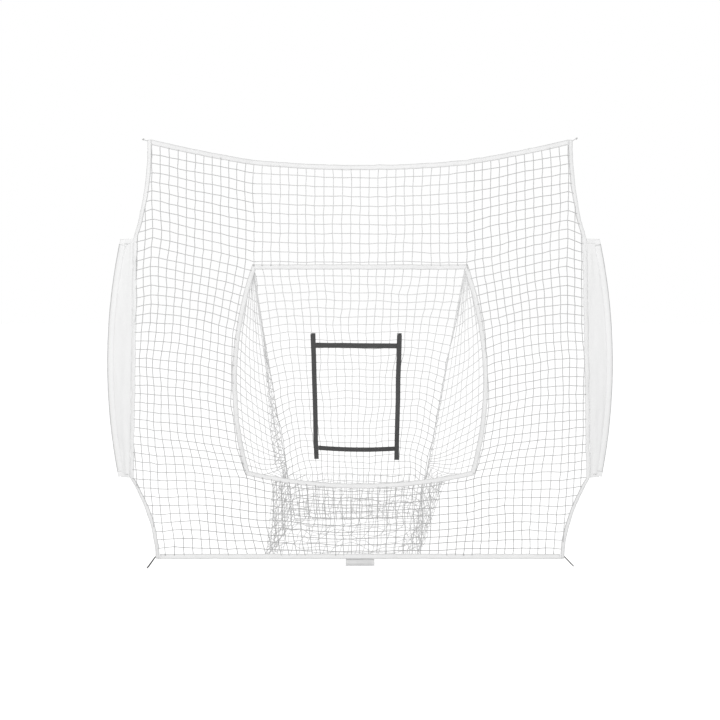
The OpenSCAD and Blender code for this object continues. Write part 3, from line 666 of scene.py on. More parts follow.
STRAND_STEPS = 3            # points along each mesh of a strand
GATHER_THIN = 0.39          # radius of a gathered strand, as a share of the twine
LAST_COL = 48
LAST_ROW = 46
FOLD_COL = 12               # column that runs down the fold between band and wing
HEM_ROW = 0.38              # where the top hem's lower edge crosses the rows
MOUTH_ROWS = 10.3           # rows from there down to the mouth's top
NET_FLOOR = 0.006           # lowest netting of the pocket over the hem's lower edge


def cut_at(f, i, j, a, b):
    """Where the outline crosses the strand between its points a and b."""
    t = f[a] / (f[a] - f[b])
    return i[a] + (i[b] - i[a]) * t, j[a] + (j[b] - j[a]) * t


def strand_runs(i, j, inside):
    """Cuts a strand's grid path at the outline, with its ends on the outline."""
    f = inside(i, j)
    for a, b in runs_of(f > 0):
        spots = list(zip(i[a:b], j[a:b]))
        if a > 0:
            spots.insert(0, cut_at(f, i, j, a - 1, a))
        if b < len(i):
            spots.append(cut_at(f, i, j, b - 1, b))
        if len(spots) > 2:
            yield np.array(spots).T


def weave_net(kit, shells, place, cols, rows, up, inside=None, region=None, span=None, thin=1.0):
    """Strands along each column and row of a grid, with a knot at each crossing."""
    inside = inside or (lambda i, j: np.ones_like(i))
    region = region or (lambda i, j: np.zeros_like(i, dtype=int))
    radius = kit.strand_d / 2 * thin
    left, right, first, last = span or (cols[0], cols[-1], rows[0], rows[-1])
    across = np.linspace(left, right, int((right - left) * STRAND_STEPS) + 1)
    down = np.linspace(first, last, int((last - first) * STRAND_STEPS) + 1)
    lines = [(across, np.full(len(across), float(j))) for j in rows]
    lines += [(np.full(len(down), float(i)), down) for i in cols]
    for i, j in lines:
        for ii, jj in strand_runs(i, j, inside):
            points, owner = place(ii, jj), region(ii, jj)
            cuts = np.flatnonzero(np.diff(owner)) + 1
            starts, ends = np.concatenate([[0], cuts]), np.concatenate([cuts, [len(ii)]])
            for a, b in zip(starts, ends):
                part = points[a:min(b + 1, len(ii))]
                if len(part) > 1:
                    tube(shells[int(owner[a])], part, radius, up)
    gi, gj = [g.ravel().astype(float) for g in np.meshgrid(cols, rows)]
    keep = inside(gi, gj) > 0
    gi, gj = gi[keep], gj[keep]
    centres, owner = place(gi, gj), region(gi, gj)
    for number, shell in shells.items():
        knots(shell, centres[owner == number], kit.knot_d / 2)


def weave_sheet(kit, shell, place, cols, rows, up, thin=1.0):
    """A net of cols by rows meshes with nothing cut from it."""
    weave_net(kit, {0: shell}, place, np.arange(cols + 1), np.arange(rows + 1), up, thin=thin)


RIDGE_COLUMN_LEFT = ([0, .2, .4, .5, .62, .72, .79, .9, 1],
                     [1.003, 1.010, 1.030, 1.052, 1.057, 1.058, 1.046, 1.036, 1.02])
RIDGE_COLUMN_RIGHT = ([0, .2, .4, .5, .62, .72, .79, .9, 1],
                      [1.003, 1.008, 1.018, 1.030, 1.036, 1.038, 1.032, 1.024, 1.01])
FOLD_COLUMN_LEFT = ([0, .22, .3, .4, .58, .69, .79, .9, 1],
                    [.540, .540, .572, .605, .624, .596, .537, .520, .470])
FOLD_COLUMN_RIGHT = ([0, .22, .3, .4, .58, .69, .79, .9, 1],
                     [.540, .540, .572, .605, .624, .596, .540, .540, .518])
RIDGE_ROWS = ([0, 1, 5, 10, 15, 21, 25, 30, 35, 40, 45, 46, 47],
              [2.033, 1.9895, 1.8161, 1.5925, 1.3642, 1.0939, .9163, .6972, .4828, .2686, .0532, .010, -.033])
ROW_DIPS = ([0, 1, 5, 10, 17, 23, 28, 32, 36, 38, 43, 46],
            [.052, .056, .082, .106, .099, .101, .094, .097, .075, .065, .03, 0])
WING_FALL = ([0, .2, .4, .62, 1], [.010, .010, .005, 0, 0])
DIP_POWER = ([0, 0.25, 0.4, 1], [1.1, 1.1, 1.6, 1.4])
STRIP_MESH = 0.040          # width of the outer strip's meshes
ROW_SAG = 0.85              # how far the apron's rows follow the sag of the sill


def front_grid(i, j):
    """Where the front sheet's column i and row j cross: distance across and height."""
    i, j = np.asarray(i, float), np.asarray(j, float)
    t = np.clip(j / LAST_ROW, 0, 1)
    side = np.where(i < LAST_COL / 2, -1.0, 1.0)
    k = np.minimum(i, LAST_COL - i)
    x0 = np.where(side < 0, np.interp(t, *RIDGE_COLUMN_LEFT), np.interp(t, *RIDGE_COLUMN_RIGHT))
    x1 = np.where(side < 0, np.interp(t, *FOLD_COLUMN_LEFT), np.interp(t, *FOLD_COLUMN_RIGHT))
    x = np.where(k < 0, x0 - STRIP_MESH * k,
                 np.where(k < FOLD_COL, x0 + (x1 - x0) * k / FOLD_COL, x1 * (2 - k / FOLD_COL)))
    q = np.clip((x0 - x) / (x0 - x1), 0, 1)
    ridge, dip = np.interp(j, *RIDGE_ROWS), np.interp(j, *ROW_DIPS)
    h = ridge - dip * q ** np.interp(t, *DIP_POWER)
    under = hem_h(np.minimum(x, RIDGE_X)) - TAPE_W
    under_fold = hem_h(x1) - TAPE_W
    band = under - (under - MOUTH_TOP) * (j - HEM_ROW) / MOUTH_ROWS
    band_fold = under_fold - (under_fold - MOUTH_TOP) * (j - HEM_ROW) / MOUTH_ROWS
    inner = np.clip((x1 - x) / x1, 0, 1)
    h = np.where((k > FOLD_COL) & (j < 14), h + (band - band_fold), h)
    low = (1 - (np.minimum(x, x1) / x1) ** 2) * SILL_SAG * ROW_SAG * np.clip(h / MOUTH_CORNER, 0, 1.1)
    h = np.where((k > FOLD_COL) & (j > 30), h - low * (inner > 0), h)
    h = h + np.minimum(k, 0) * np.interp(t, *WING_FALL)
    return side * x, h


UNDER_TAPE = 0.008          # how far the netting runs under its tapes
BAND, WING, STRIP, APRON = 0, 1, 2, 4
RIGHT = 10                  # added to the number of a wing or strip on the right
FRONT_PARTS = {BAND: "top", WING: "left_wing", WING + RIGHT: "right_wing", STRIP: "left_edge",
               STRIP + RIGHT: "right_edge", APRON: "apron"}


def front_signed(x, h):
    """Positive where the front sheet has netting, a little under its tapes too."""
    a = np.abs(x)
    top = hem_h(np.minimum(a, RIDGE_X)) - TAPE_W + UNDER_TAPE - h
    bottom = h - (TAPE_W - UNDER_TAPE) * math.cos(APRON_LEAN)
    edge = tape_out(np.clip(h, 0, FRONT_H)) - TAPE_W + UNDER_TAPE - (a - RIDGE_X) / math.cos(STRIP_TURN)
    rim = TAPE_W / 2 - UNDER_TAPE
    beside = a - mouth_x(np.clip(h, MOUTH_CORNER, MOUTH_TOP)) - rim
    mouth = np.maximum(np.maximum(beside, h - MOUTH_TOP - rim), sill_h(a) - rim - h)
    return np.minimum(np.minimum(top, bottom), np.minimum(edge, mouth))


def front_region(x, h):
    """Number of the part of the front sheet that a point belongs to."""
    a = np.abs(x)
    part = np.where(a > FOLD_X, WING, BAND)
    part = np.where(h * APRON_TAN < np.minimum((RIDGE_X - a) * WING_TAN, FOLD_Y), APRON, part)
    part = np.where(a > RIDGE_X, STRIP, part)
    return np.where((x > 0) & ((part == WING) | (part == STRIP)), part + RIGHT, part)


def make_front(kit):
    """The front sheet's netting, cut into the parts of the frame's nodes."""
    slack = Waver(11, 62, 52, kit.slack * 0.34, kit.slack * 0.9)

    def grid(i, j):
        x, h = front_grid(i, j)
        off = slack(i + 6, j + 1)
        return x + off[..., 0], h + off[..., 2], off[..., 1]

    def place(i, j):
        x, h, out = grid(i, j)
        return lifted(np.stack([x, front_y(np.abs(x), h) + out * 0.8, h], axis=-1))

    def inside(i, j):
        return front_signed(*grid(i, j)[:2])

    def region(i, j):
        return front_region(*grid(i, j)[:2])

    shells = {part: Shell() for part in FRONT_PARTS}
    weave_net(kit, shells, place, np.arange(-4, 53), np.arange(1, LAST_ROW + 1), (0, -1, 0), inside, region,
              span=(-4.5, 52.5, -0.9, 46.9))
    # Painted shade: the apron's and the wings' twine are darker copies of the one twine.
    finishes = {BAND: netting_finish(kit), APRON: netting_finish(kit, "netting_twine_apron_painted_shade", 0.72)}
    shaded = netting_finish(kit, "netting_twine_wing_painted_shade", 0.86)
    for part, name in FRONT_PARTS.items():
        shells[part].build(name + "_netting", finishes.get(part, shaded), "net", [name + "_net"], "netting")


def mirrored(points, side):
    return points * np.array([side, 1, 1])


def side_front(h, foot_x):
    """Front edge of a side wall, behind the mouth's tape and then behind the apron."""
    h = np.asarray(h, float)
    high = wing_point(1, mouth_w(np.maximum(h, MOUTH_CORNER)), h)
    under = float(sill_h(UNDER_SILL_X))
    low_h = np.clip(h, 0, MOUTH_CORNER)
    above = UNDER_SILL_X + (CORNER_X - UNDER_SILL_X) * (low_h - under) / (MOUTH_CORNER - under)
    x = np.where(low_h > under, above, foot_x + (UNDER_SILL_X - foot_x) * low_h / under)
    low = apron_point(x, low_h / math.cos(APRON_LEAN))
    point = np.where((h > MOUTH_CORNER)[..., None], high, low)
    return point + np.array([0, BEHIND_TAPE, 0])


def crease_shift(u):
    """How far the tensioned back wall is pulled to the left at distance u from its foot."""
    return ZONE_SHIFT * np.clip(1.06 - u / BACK_L, 0, 1) ** 0.6


def side_crease(h, side=1):
    """The crease between back and side wall, in the mirrored frame of a side."""
    u = np.asarray(h, float) / math.cos(BACK_LEAN)
    x = BACK_FOOT_X + (FOLD_X - BACK_FOOT_X) * u / BACK_L + side * crease_shift(u)
    return back_point(x, u)


TURN_H = 0.29               # height at which the crease's gather leaves the back wall
GATHER_WIDTH = ([0, 0.30, 0.50, 0.67, 0.93, 1.1, MOUTH_TOP],
                [0.150, 0.150, 0.105, 0.070, 0.030, 0.010, 0.003])
RIGHT_GATHER = 0.22         # width of the right crease's gather, as a share of the left one's
POCKET_PAINTED_LIGHT = 1.30          # painted light: how much lighter the twine of the pocket's sides and floor is made, against the shade inside the pocket
WALL_SLOPE = ([0, 0.4, 0.62, 0.9, MOUTH_TOP], [0.0, 0.12, 0.55, 0.66, 0.5])
BACK_FALL = ([0, 0.1, 0.5, 0.8, 1], [0.0, 0.050, 0.055, 0.02, 0.0])
BEHIND_TAPE = 0.004         # from the mouth's tape back to the side wall


def ragged(rng, count, marks):
    """A random wave of about unit size with so many marks along it."""
    return np.interp(np.linspace(0, 1, count), np.linspace(0, 1, marks), rng.normal(size=marks))


def gather_crease(kit, wall, side, foot_x, rng):
    """Strands bunched along the crease between a side wall and the back wall."""
    steps = 140
    h = np.linspace(MOUTH_TOP - 0.015, TURN_H - 0.03, steps)
    narrow = 1.0 if side < 0 else RIGHT_GATHER
    band = np.interp(h, *GATHER_WIDTH) * narrow
    inward = unit_rows(side_front(h, foot_x) - side_crease(h, side))
    count = kit.gather_strands if side < 0 else max(2, kit.gather_strands // 3)
    for n in range(count):
        share = (n + 0.5) / count
        zig = 0.10 * np.sin(h * 2 * math.pi / 0.05 + n * math.pi)
        gap = band * np.clip(share + ragged(rng, steps, 50) * 0.1 + zig, -0.06, 1.1)
        out = band * 0.16 * np.abs(ragged(rng, steps, 44))
        path = side_crease(h, side) + inward * (gap[:, None] + 0.001) + np.array([0, -1, 0]) * out[:, None]
        tube(wall, mirrored(path, side), kit.strand_d * GATHER_THIN, (1, 0, 0.2))
    for level in np.arange(TURN_H, 0.93, 0.034):
        width = float(np.interp(level, *GATHER_WIDTH)) * narrow
        base = side_crease(np.array([level]), side)[0]
        aim = unit_rows(side_front(np.array([level]), foot_x) - base)[0]
        w = np.linspace(-0.03, 1.1, 9)
        path = base + aim * (w * width)[:, None]
        path[:, 2] += 0.004 * np.sin(w * 11 + level * 90) - 0.3 * w * width + rng.normal(scale=0.0012, size=9)
        tube(wall, mirrored(path, side), kit.strand_d * GATHER_THIN, (0, -1, 0.3))


def gather_foot(kit, wall, side, foot_x, rng):
    """The gather's lower end, which falls forward to the foot of the side wall at the hem."""
    rear = side_crease(np.array([TURN_H]), side)[0] - np.array([0.006, 0, 0])
    fore = side_front(np.array([TURN_H + 0.05]), foot_x)[0] - np.array([0.006, -0.02, 0])
    inner = 0.075 if side < 0 else 0.095
    count = max(3, kit.gather_strands - (1 if side < 0 else 0))
    steps = 46

    def spot(share, t):
        top = fore + (rear - fore) * share[:, None]
        foot = np.stack([foot_x - inner * share, 0.014 + 0.05 * share, 0.009 + 0 * share], axis=1)
        point = top + (foot - top) * t[:, None]
        point[:, 2] = np.maximum(point[:, 2] - 0.05 * np.sin(math.pi * t), NET_FLOOR)
        return mirrored(lifted(point), side)

    for n in range(count):
        t = np.linspace(-0.06, 0.99, steps)
        zig = 0.05 * np.sin(t * 40 + n * math.pi)
        share = np.clip((n + 0.5) / count + ragged(rng, steps, 17) * 0.10 + zig, -0.05, 1.06)
        tube(wall, spot(share, t), kit.strand_d * GATHER_THIN, (1, 0, 0.2))
    for t0 in np.arange(0.03, 0.97, 0.094):
        share = np.linspace(-0.04, 1.04, 12)
        t = np.clip(t0 + 0.03 * np.sin(share * 12 + t0 * 60) + rng.normal(scale=0.008, size=12), 0, 0.99)
        tube(wall, spot(share, t), kit.strand_d * GATHER_THIN, (0, -1, 0.3))


def make_pocket_wall(kit, side):
    """A side wall from the mouth's tape back to the crease, with the gathers along its edge."""
    name = "left" if side < 0 else "right"
    foot_x = FLOOR_LEFT if side < 0 else FLOOR_RIGHT
    slack = Waver(31 if side < 0 else 37, 16, 40, kit.slack * 0.5, kit.slack * 1.3)
    cols, rows = 8, 33
    rng = np.random.default_rng(5 if side < 0 else 6)

    def place(i, j):
        h = NET_FLOOR + (MOUTH_TOP - 0.012 - NET_FLOOR) * np.asarray(j, float) / rows
        front = side_front(h, foot_x)
        depth = np.linalg.norm(side_crease(h, side) - front, axis=-1)
        rear = side_crease(np.maximum(h - np.interp(h, *WALL_SLOPE) * depth, NET_FLOOR), side)
        w = (np.asarray(i, float) / cols)[..., None]
        hang = 0.05 * depth * np.sin(math.pi * w[..., 0])
        point = front + (rear - front) * w + slack(i, j) * np.sin(math.pi * w) * 0.9
        point[..., 2] = np.maximum(point[..., 2] - hang, NET_LIFT + 0.004)
        return mirrored(point, side)

    wall = Shell()
    weave_sheet(kit, wall, place, cols, rows, (1, 0, 0.2))
    gather_crease(kit, wall, side, foot_x, rng)
    gather_foot(kit, wall, side, foot_x, rng)
    # Painted light: the side walls' twine is a lighter copy of the one twine, against the shade inside the
    # pocket.
    finish = netting_finish(kit, "netting_twine_pocket_painted_light", POCKET_PAINTED_LIGHT)
    wall.build(name + "_pocket_netting", finish, "net", [name + "_pocket_net"], "netting")


def make_back_wall(kit):
    """The sloping wall behind the mouth, which falls a little towards both creases."""
    slack = Waver(51, 28, 40, kit.slack * 0.5, kit.slack * 1.8)
    cols, rows = 24, 35

    def place(i, j):
        i, j = np.asarray(i, float), np.asarray(j, float)
        u = (BACK_L - NET_FLOOR) * j / rows
        c = i / cols * 2 - 1
        u = u - np.interp(j / rows, *BACK_FALL) * np.clip((np.abs(c) - 0.72) / 0.28, 0, 1) ** 1.5
        half = BACK_FOOT_X + (FOLD_X - BACK_FOOT_X) * u / BACK_L
        off = slack(i, j) * (np.clip(j, 0, 1.5) / 1.5 * np.clip(rows - j, 0, 1.5) / 1.5)[..., None]
        x = half * c + crease_shift(u) + off[..., 0]
        return back_point(x, np.maximum(u + off[..., 2], 0.004), -np.abs(off[..., 1]) * 0.5)

    wall = Shell()
    weave_sheet(kit, wall, place, cols, rows, (0, -1, 0.2))
    # Painted light: the back wall's twine is a lighter copy of the one twine.
    finish = netting_finish(kit, "netting_twine_back_painted_light", 1.1)
    wall.build("pocket_back_netting", finish, "net", ["pocket_back_net"], "netting")


def chute_place(kit, start, stop, seed, cols, rows, fold):
    """Places a grid on the slack chute, from share start to stop of its run up to the back wall."""
    slack = Waver(seed, 30, 24, kit.slack * 1.8, kit.slack * 4.2, spacing=2.6)
    rear = side_crease(np.array([TURN_H]))[0]

    def place(i, j):
        i, j = np.asarray(i, float), np.asarray(j, float)
        t = start + (stop - start) * j / rows
        share = 0.12 + 0.72 * i / cols + 0.05 * np.sin(j * 1.3) if fold else i / cols
        edge = 1.0 if fold else np.clip(np.minimum(j, rows - j), 0, 2) / 2
        low = -FLOOR_LEFT + (FLOOR_LEFT - rear[0] + ZONE_SHIFT) * t
        high = FLOOR_RIGHT + (rear[0] + ZONE_SHIFT - FLOOR_RIGHT) * t
        off = slack(i, j)
        x = low + (high - low) * share + off[..., 0] * edge
        y = 0.014 + (rear[1] - 0.030) * t + off[..., 1] * edge
        sag = 0.055 * np.sin(math.pi * t) * (0.6 + 0.4 * np.sin(math.pi * share))
        z = NET_FLOOR + (rear[2] - NET_LIFT) * t - sag + off[..., 2] * edge + 0.016 * fold
        return lifted(np.stack([x, np.clip(y, 0.008, FOOT_Y), np.maximum(z, 0.005)], axis=-1))

    return place


def make_floor(kit):
    """The slack chute under the pocket, from the back wall down to the bottom hem, and a fold on it."""
    floor = Shell()
    for start, stop, seed, cols, rows, fold in ((0.0, 1.0, 61, 19, 13, False), (0.32, 0.72, 71, 7, 4, True)):
        place = chute_place(kit, start, stop, seed, cols, rows, fold)
        weave_sheet(kit, floor, place, cols, rows, (0, 0.1, 1), thin=0.86)
    # Painted light: the floor's twine is the pocket's lighter copy of the one twine.
    finish = netting_finish(kit, "netting_twine_pocket_painted_light", POCKET_PAINTED_LIGHT)
    floor.build("pocket_floor_netting", finish, "net", ["pocket_floor_net"], "netting")


# ---- Binding tapes ----

TAPE_STEP = 0.009           # distance between a tape's points
HEM_GAP = 0.0006            # from the hems' ends to the ridge
EDGE_MIN_X = RIDGE_X + 0.0122
MOUTH_OVERLAP = 0.004       # how far the mouth's tapes pass each other at its corners


def wavy(rng, count, size, every):
    """A slow random wave along a seam."""
    return ragged(rng, count, max(4, int(count / every))) * size


def sew_tape(kit, name, path, across, normal, seed, width=TAPE_W, edge_painted_shade=1.0, pinch=0.0):
    """A folded tape over a net's edge, puckered by two stitched seams and narrower by pinch at its ends, with
    painted shade towards its folded edges.
    """
    rng = np.random.default_rng(seed)
    path = np.array(path, float)
    across = np.array(np.broadcast_to(across, path.shape), float)
    normal = np.array(np.broadcast_to(normal, path.shape), float)
    count = len(path)
    ease = np.clip((np.minimum(np.arange(count), np.arange(count)[::-1]) - 3) / 7, 0, 1)[:, None]
    path += normal * (wavy(rng, count, 0.0007, 2.2)[:, None] + wavy(rng, count, 0.0011, 6)[:, None]) * ease
    path += across * wavy(rng, count, 0.0006, 3)[:, None] * ease
    across = unit_rows(across + normal * wavy(rng, count, 0.05, 3)[:, None] * ease)
    normal = unit_rows(normal - across * np.sum(normal * across, axis=1, keepdims=True))
    widths = width * (1 + np.clip(wavy(rng, count, 0.02, 2.5), -0.05, 0.03)) - pinch * (1 - ease[:, 0])
    tape = Shell()
    ribbon(tape, path, across, normal, widths, kit.tape_thick, edge_painted_shade=edge_painted_shade)
    tape.build(name + "_binding", tape_finish(kit), "net", [name + "_tape"], "binding_tape")
    sewn = Shell()
    for row in (-SEAM_SHARE, SEAM_SHARE):
        for face in (-1, 1):
            line = path + across * (widths / 2 * row)[:, None] + normal * face * kit.tape_thick * 0.42
            stitches(sewn, line, normal * face)
    sewn.build(name + "_binding_stitches", thread_finish("sewing_thread", kit.thread_colour), "net",
               slot="binding_tape")


def spaced(path):
    """The same path with points at an even distance."""
    path = np.asarray(path, float)
    run = run_along(path)
    return read_off(path, run, np.linspace(0, run[-1], max(8, int(run[-1] / TAPE_STEP))))


def square_to(path, out):
    """The direction nearest to out that is square to the path at each of its points."""
    along = unit_rows(np.gradient(path, axis=0))
    return unit_rows(out - along * (along @ out)[:, None])


def make_outer_tapes(kit):
    """The tapes of the top and bottom hem and of the two outer edges."""
    x = np.linspace(-RIDGE_X + HEM_GAP, RIDGE_X - HEM_GAP, 700)
    path = spaced(lifted(np.stack([x, np.minimum((RIDGE_X - np.abs(x)) * WING_TAN, FOLD_Y),
                                   hem_h(x) - TAPE_W / 2], axis=1)))
    slope = np.where(np.abs(path[:, :1]) > FOLD_X, 1.0, 0.0) * np.sign(path[:, :1])
    facing = np.concatenate([-slope * math.sin(WING_TURN),
                             -np.where(slope == 0, 1.0, math.cos(WING_TURN)), 0 * slope], axis=1)
    sew_tape(kit, "top_hem", path, (0, 0, 1), facing, 1)
    sew_tape(kit, "bottom_hem", spaced(apron_point(x, TAPE_W / 2)), APRON_UP, APRON_FRONT, 2)
    h = np.concatenate([np.linspace(0, PANEL_BOTTOM, 60), np.linspace(PANEL_BOTTOM, PANEL_TOP, 90)[1:],
                        np.linspace(PANEL_TOP, FRONT_H, 60)[1:]])
    for side in (-1, 1):
        name = "left" if side < 0 else "right"
        path = spaced(strip_point(side, tape_out(h) - TAPE_W / 2, h))
        path[:, 0] = np.where(np.abs(path[:, 0]) < EDGE_MIN_X, side * EDGE_MIN_X, path[:, 0])
        height = path[:, 2] - NET_LIFT
        covered = (height > PANEL_BOTTOM) & (height < PANEL_TOP)
        # Painted shade on the edge tapes' folded edges, left out where the side panels cover them.
        sew_tape(kit, name + "_edge", path, strip_across(side), strip_normal(side), 3 + side,
                 width=TAPE_W * 0.985, edge_painted_shade=np.where(covered, 0.0, 1.0), pinch=0.0018)


def make_mouth_tapes(kit):
    """The tapes round the mouth: straight at the top, bowed at the sides, sagging at the sill."""
    x = np.linspace(-FOLD_X - MOUTH_OVERLAP, FOLD_X + MOUTH_OVERLAP, 300)
    top = lifted(np.stack([x, np.full_like(x, FOLD_Y - 0.0004), np.full_like(x, MOUTH_TOP)], axis=1))
    sew_tape(kit, "mouth_top", spaced(top), (0, 0, 1), (0, -1, 0), 6)
    h = np.linspace(MOUTH_TOP + 0.010, MOUTH_CORNER - 0.002, 300)
    for side in (-1, 1):
        name = "left" if side < 0 else "right"
        path = spaced(wing_point(side, mouth_w(h), h))
        out = np.array([side * math.cos(WING_TURN), -math.sin(WING_TURN), 0])
        face = np.array([-side * math.sin(WING_TURN), -math.cos(WING_TURN), 0])
        sew_tape(kit, "mouth_" + name, path, square_to(path, out), face, 8 + side)
    x = np.linspace(-CORNER_X - MOUTH_OVERLAP, CORNER_X + MOUTH_OVERLAP, 400)
    path = spaced(apron_point(x, APRON_S - SILL_SAG * (1 - (x / CORNER_X) ** 2)))
    sew_tape(kit, "mouth_sill", path, square_to(path, APRON_UP), APRON_FRONT, 10)


# ---- Side panels ----

EDGE_CHORD = math.hypot(EDGE_BOTTOM - EDGE_TOP, PANEL_TOP - PANEL_BOTTOM)
EDGE_TILT = math.atan((EDGE_BOTTOM - EDGE_TOP) / (PANEL_TOP - PANEL_BOTTOM))
EDGE_R = EDGE_CHORD ** 2 / 8 / EDGE_BOW + EDGE_BOW / 2
EDGE_CX = (EDGE_TOP + EDGE_BOTTOM) / 2 + (EDGE_BOW - EDGE_R) * math.cos(EDGE_TILT)
EDGE_CH = (PANEL_TOP + PANEL_BOTTOM) / 2 + (EDGE_BOW - EDGE_R) * math.sin(EDGE_TILT)
EDGE_SPAN = math.asin(EDGE_CHORD / 2 / EDGE_R)
SLEEVE_PATH = EDGE_R - SLEEVE_R
CUSP = 3.2 * SLEEVE_R       # how far from the sleeve's middle its two layers meet
HEM_SPAN = math.asin((HEM_L + SEAM_CLEAR) / SLEEVE_PATH)
SLEEVE_T = 0.0012
PANEL_T = 0.0011
HEM_T = 0.0028
CLOTH_W = 0.15              # width that the weave is laid out over
FAR_PUCKER = 0.82           # where the sleeve's seam puckers the cloth, as a share of its width
FAR_EASE = 0.84             # where the folds end before the sleeve
FOLD_DEPTH = 0.0034
SLACK_DEPTH = 0.0012
PUCKER_DEPTH = 0.0003
FLANK = np.concatenate([np.linspace(0, 2.6, 11), [2.8, 2.95, 3.05, 3.1]])
TURNS = np.concatenate([FLANK, 2 * math.pi - FLANK[:0:-1]])     # round a sleeve, closest near the cusp


def arc_s(h, r):
    """Distance along the strip, at height h, of a bow with radius r round the same middle."""
    return EDGE_CX + np.sqrt(r * r - (h - EDGE_CH) ** 2)


def sleeve_round(turn, radius, cusp=CUSP):
    """A sleeve's outline: round outside, drawn in to the seam where its layers meet."""
    reach = math.acos(radius / cusp)
    off = np.abs((turn % (2 * math.pi)) - math.pi)
    return np.where(off < reach, radius / np.cos(reach - off), radius)


def cloth_solid(shell, grid, normals, thick, size):
    """A sheet with two faces and closed edges; grid is rows by columns of points."""
    rows, cols = grid.shape[:2]
    front = (grid + normals * thick / 2).reshape(-1, 3)
    back = (grid - normals * thick / 2).reshape(-1, 3)
    u, v = np.meshgrid(np.linspace(0, size[0], cols), np.linspace(0, size[1], rows))
    cloth = np.stack([v.ravel(), u.ravel(), np.zeros(rows * cols)], axis=1)
    n = rows * cols
    faces = []
    for r in range(rows - 1):
        for c in range(cols - 1):
            a, b, d, e = r * cols + c, r * cols + c + 1, (r + 1) * cols + c, (r + 1) * cols + c + 1
            faces += [(a, b, e, d), (n + a, n + d, n + e, n + b)]
    rim = [(0, c) for c in range(cols)] + [(r, cols - 1) for r in range(1, rows)]
    rim += [(rows - 1, c) for c in range(cols - 2, -1, -1)] + [(r, 0) for r in range(rows - 2, -1, -1)]
    for (r0, c0), (r1, c1) in zip(rim[:-1], rim[1:]):
        a, b = r0 * cols + c0, r1 * cols + c1
        faces.append((b, a, n + a, n + b))
    shell.add(np.concatenate([front, back]), faces, np.concatenate([cloth, cloth]))


def arc_point(radius, angle):
    """Distance along the strip and height at an angle round the middle of the panel's bow."""
    return EDGE_CX + radius * np.cos(angle), EDGE_CH + radius * np.sin(angle)


def panel_waves(side, h, share, low, high):
    """How far a panel's cloth stands out: broad folds, slow slack, and puckers along both seams."""
    rng = np.random.default_rng(21 + side)
    shape = (len(h), share.shape[1])
    folds = np.zeros(shape)
    for _ in range(5):
        at, wide = rng.uniform(0.15, 0.85), rng.uniform(0.12, 0.24)
        lean = rng.uniform(-0.2, 0.2)
        end = high if rng.choice([0, 1]) else low
        fade = np.exp(-((h - end) / rng.uniform(0.25, 0.7)) ** 2)
        fold = np.exp(-((share - at - lean * (h - low)) / wide) ** 2)
        folds += fold * fade * rng.uniform(0.6, 1.0) * rng.choice([-1, 1])
    slow = smooth_pick(lattice(41 + side, 14, 6), np.broadcast_to((h - low) / (high - low) * 12, shape),
                       np.broadcast_to(share * 4, shape))[..., 0]
    near = np.sin(h * 2 * math.pi / 0.021 + 3 * share) * np.exp(-share / 0.05) * 0.35
    far = np.sin(h * 2 * math.pi / 0.017 + 5) * np.exp(-np.abs(FAR_PUCKER - share) / 0.04) * 0.4
    ease = np.clip(np.minimum(share, FAR_EASE - share) / 0.14, 0, 1)
    return (folds * FOLD_DEPTH + slow * SLACK_DEPTH) * ease + (near + far) * PUCKER_DEPTH


def make_sleeve(kit, side, name, body):
    """The pole's sleeve: an outer and an inner wall, joined at both mouths, with painted shade down its
    outward-facing side.
    """
    steps, sides = 170, len(TURNS)
    angle = EDGE_TILT + (EDGE_SPAN - HEM_SPAN) * np.linspace(-1, 1, steps)
    mid_s, mid_h = arc_point(SLEEVE_PATH, angle)
    creases = smooth_pick(lattice(51 + side, 62, 6), np.linspace(0, 60, steps)[:, None] + 0 * TURNS[None],
                          (np.sin(TURNS / 2) * 4)[None] + 0 * angle[:, None])[..., 0]
    # Painted shade: the sleeve's outward-facing side is darkened, as the shade of the fold's far side.
    sleeve_painted_shade = np.interp(np.abs((TURNS + math.pi) % (2 * math.pi) - math.pi), [1.3, 1.8, 2.8], [.44, .09, 0])
    cloth = np.stack([np.repeat(angle * SLEEVE_PATH, sides), np.tile(TURNS * SLEEVE_R, steps),
                      np.tile(sleeve_painted_shade, steps)], axis=1)
    quads = ring_faces(steps, sides)[0]
    count = steps * sides
    mouths = []
    for k in (0, steps - 1):
        for q in range(sides):
            a, b = k * sides + q, k * sides + (q + 1) % sides
            mouths.append((a, b, b - count, a - count))
    sleeve = Shell()
    for outer in (True, False):
        if outer:
            r = sleeve_round(TURNS, SLEEVE_R)[None] + creases * 0.0003
        else:
            r = np.full((steps, sides), SLEEVE_R - SLEEVE_T)
        s = mid_s[:, None] + r * np.cos(TURNS) * np.cos(angle)[:, None]
        h = mid_h[:, None] + r * np.cos(TURNS) * np.sin(angle)[:, None]
        faces = quads if outer == (side > 0) else [quad[::-1] for quad in quads]
        sleeve.add(strip_point(side, s, h, r * np.sin(TURNS)).reshape(-1, 3),
                   faces if outer else faces + mouths, cloth)
    return sleeve.build(name + "_sleeve_cloth", panel_finish(kit), body, [name + "_pole_sleeve"],
                        "panel_fabric")


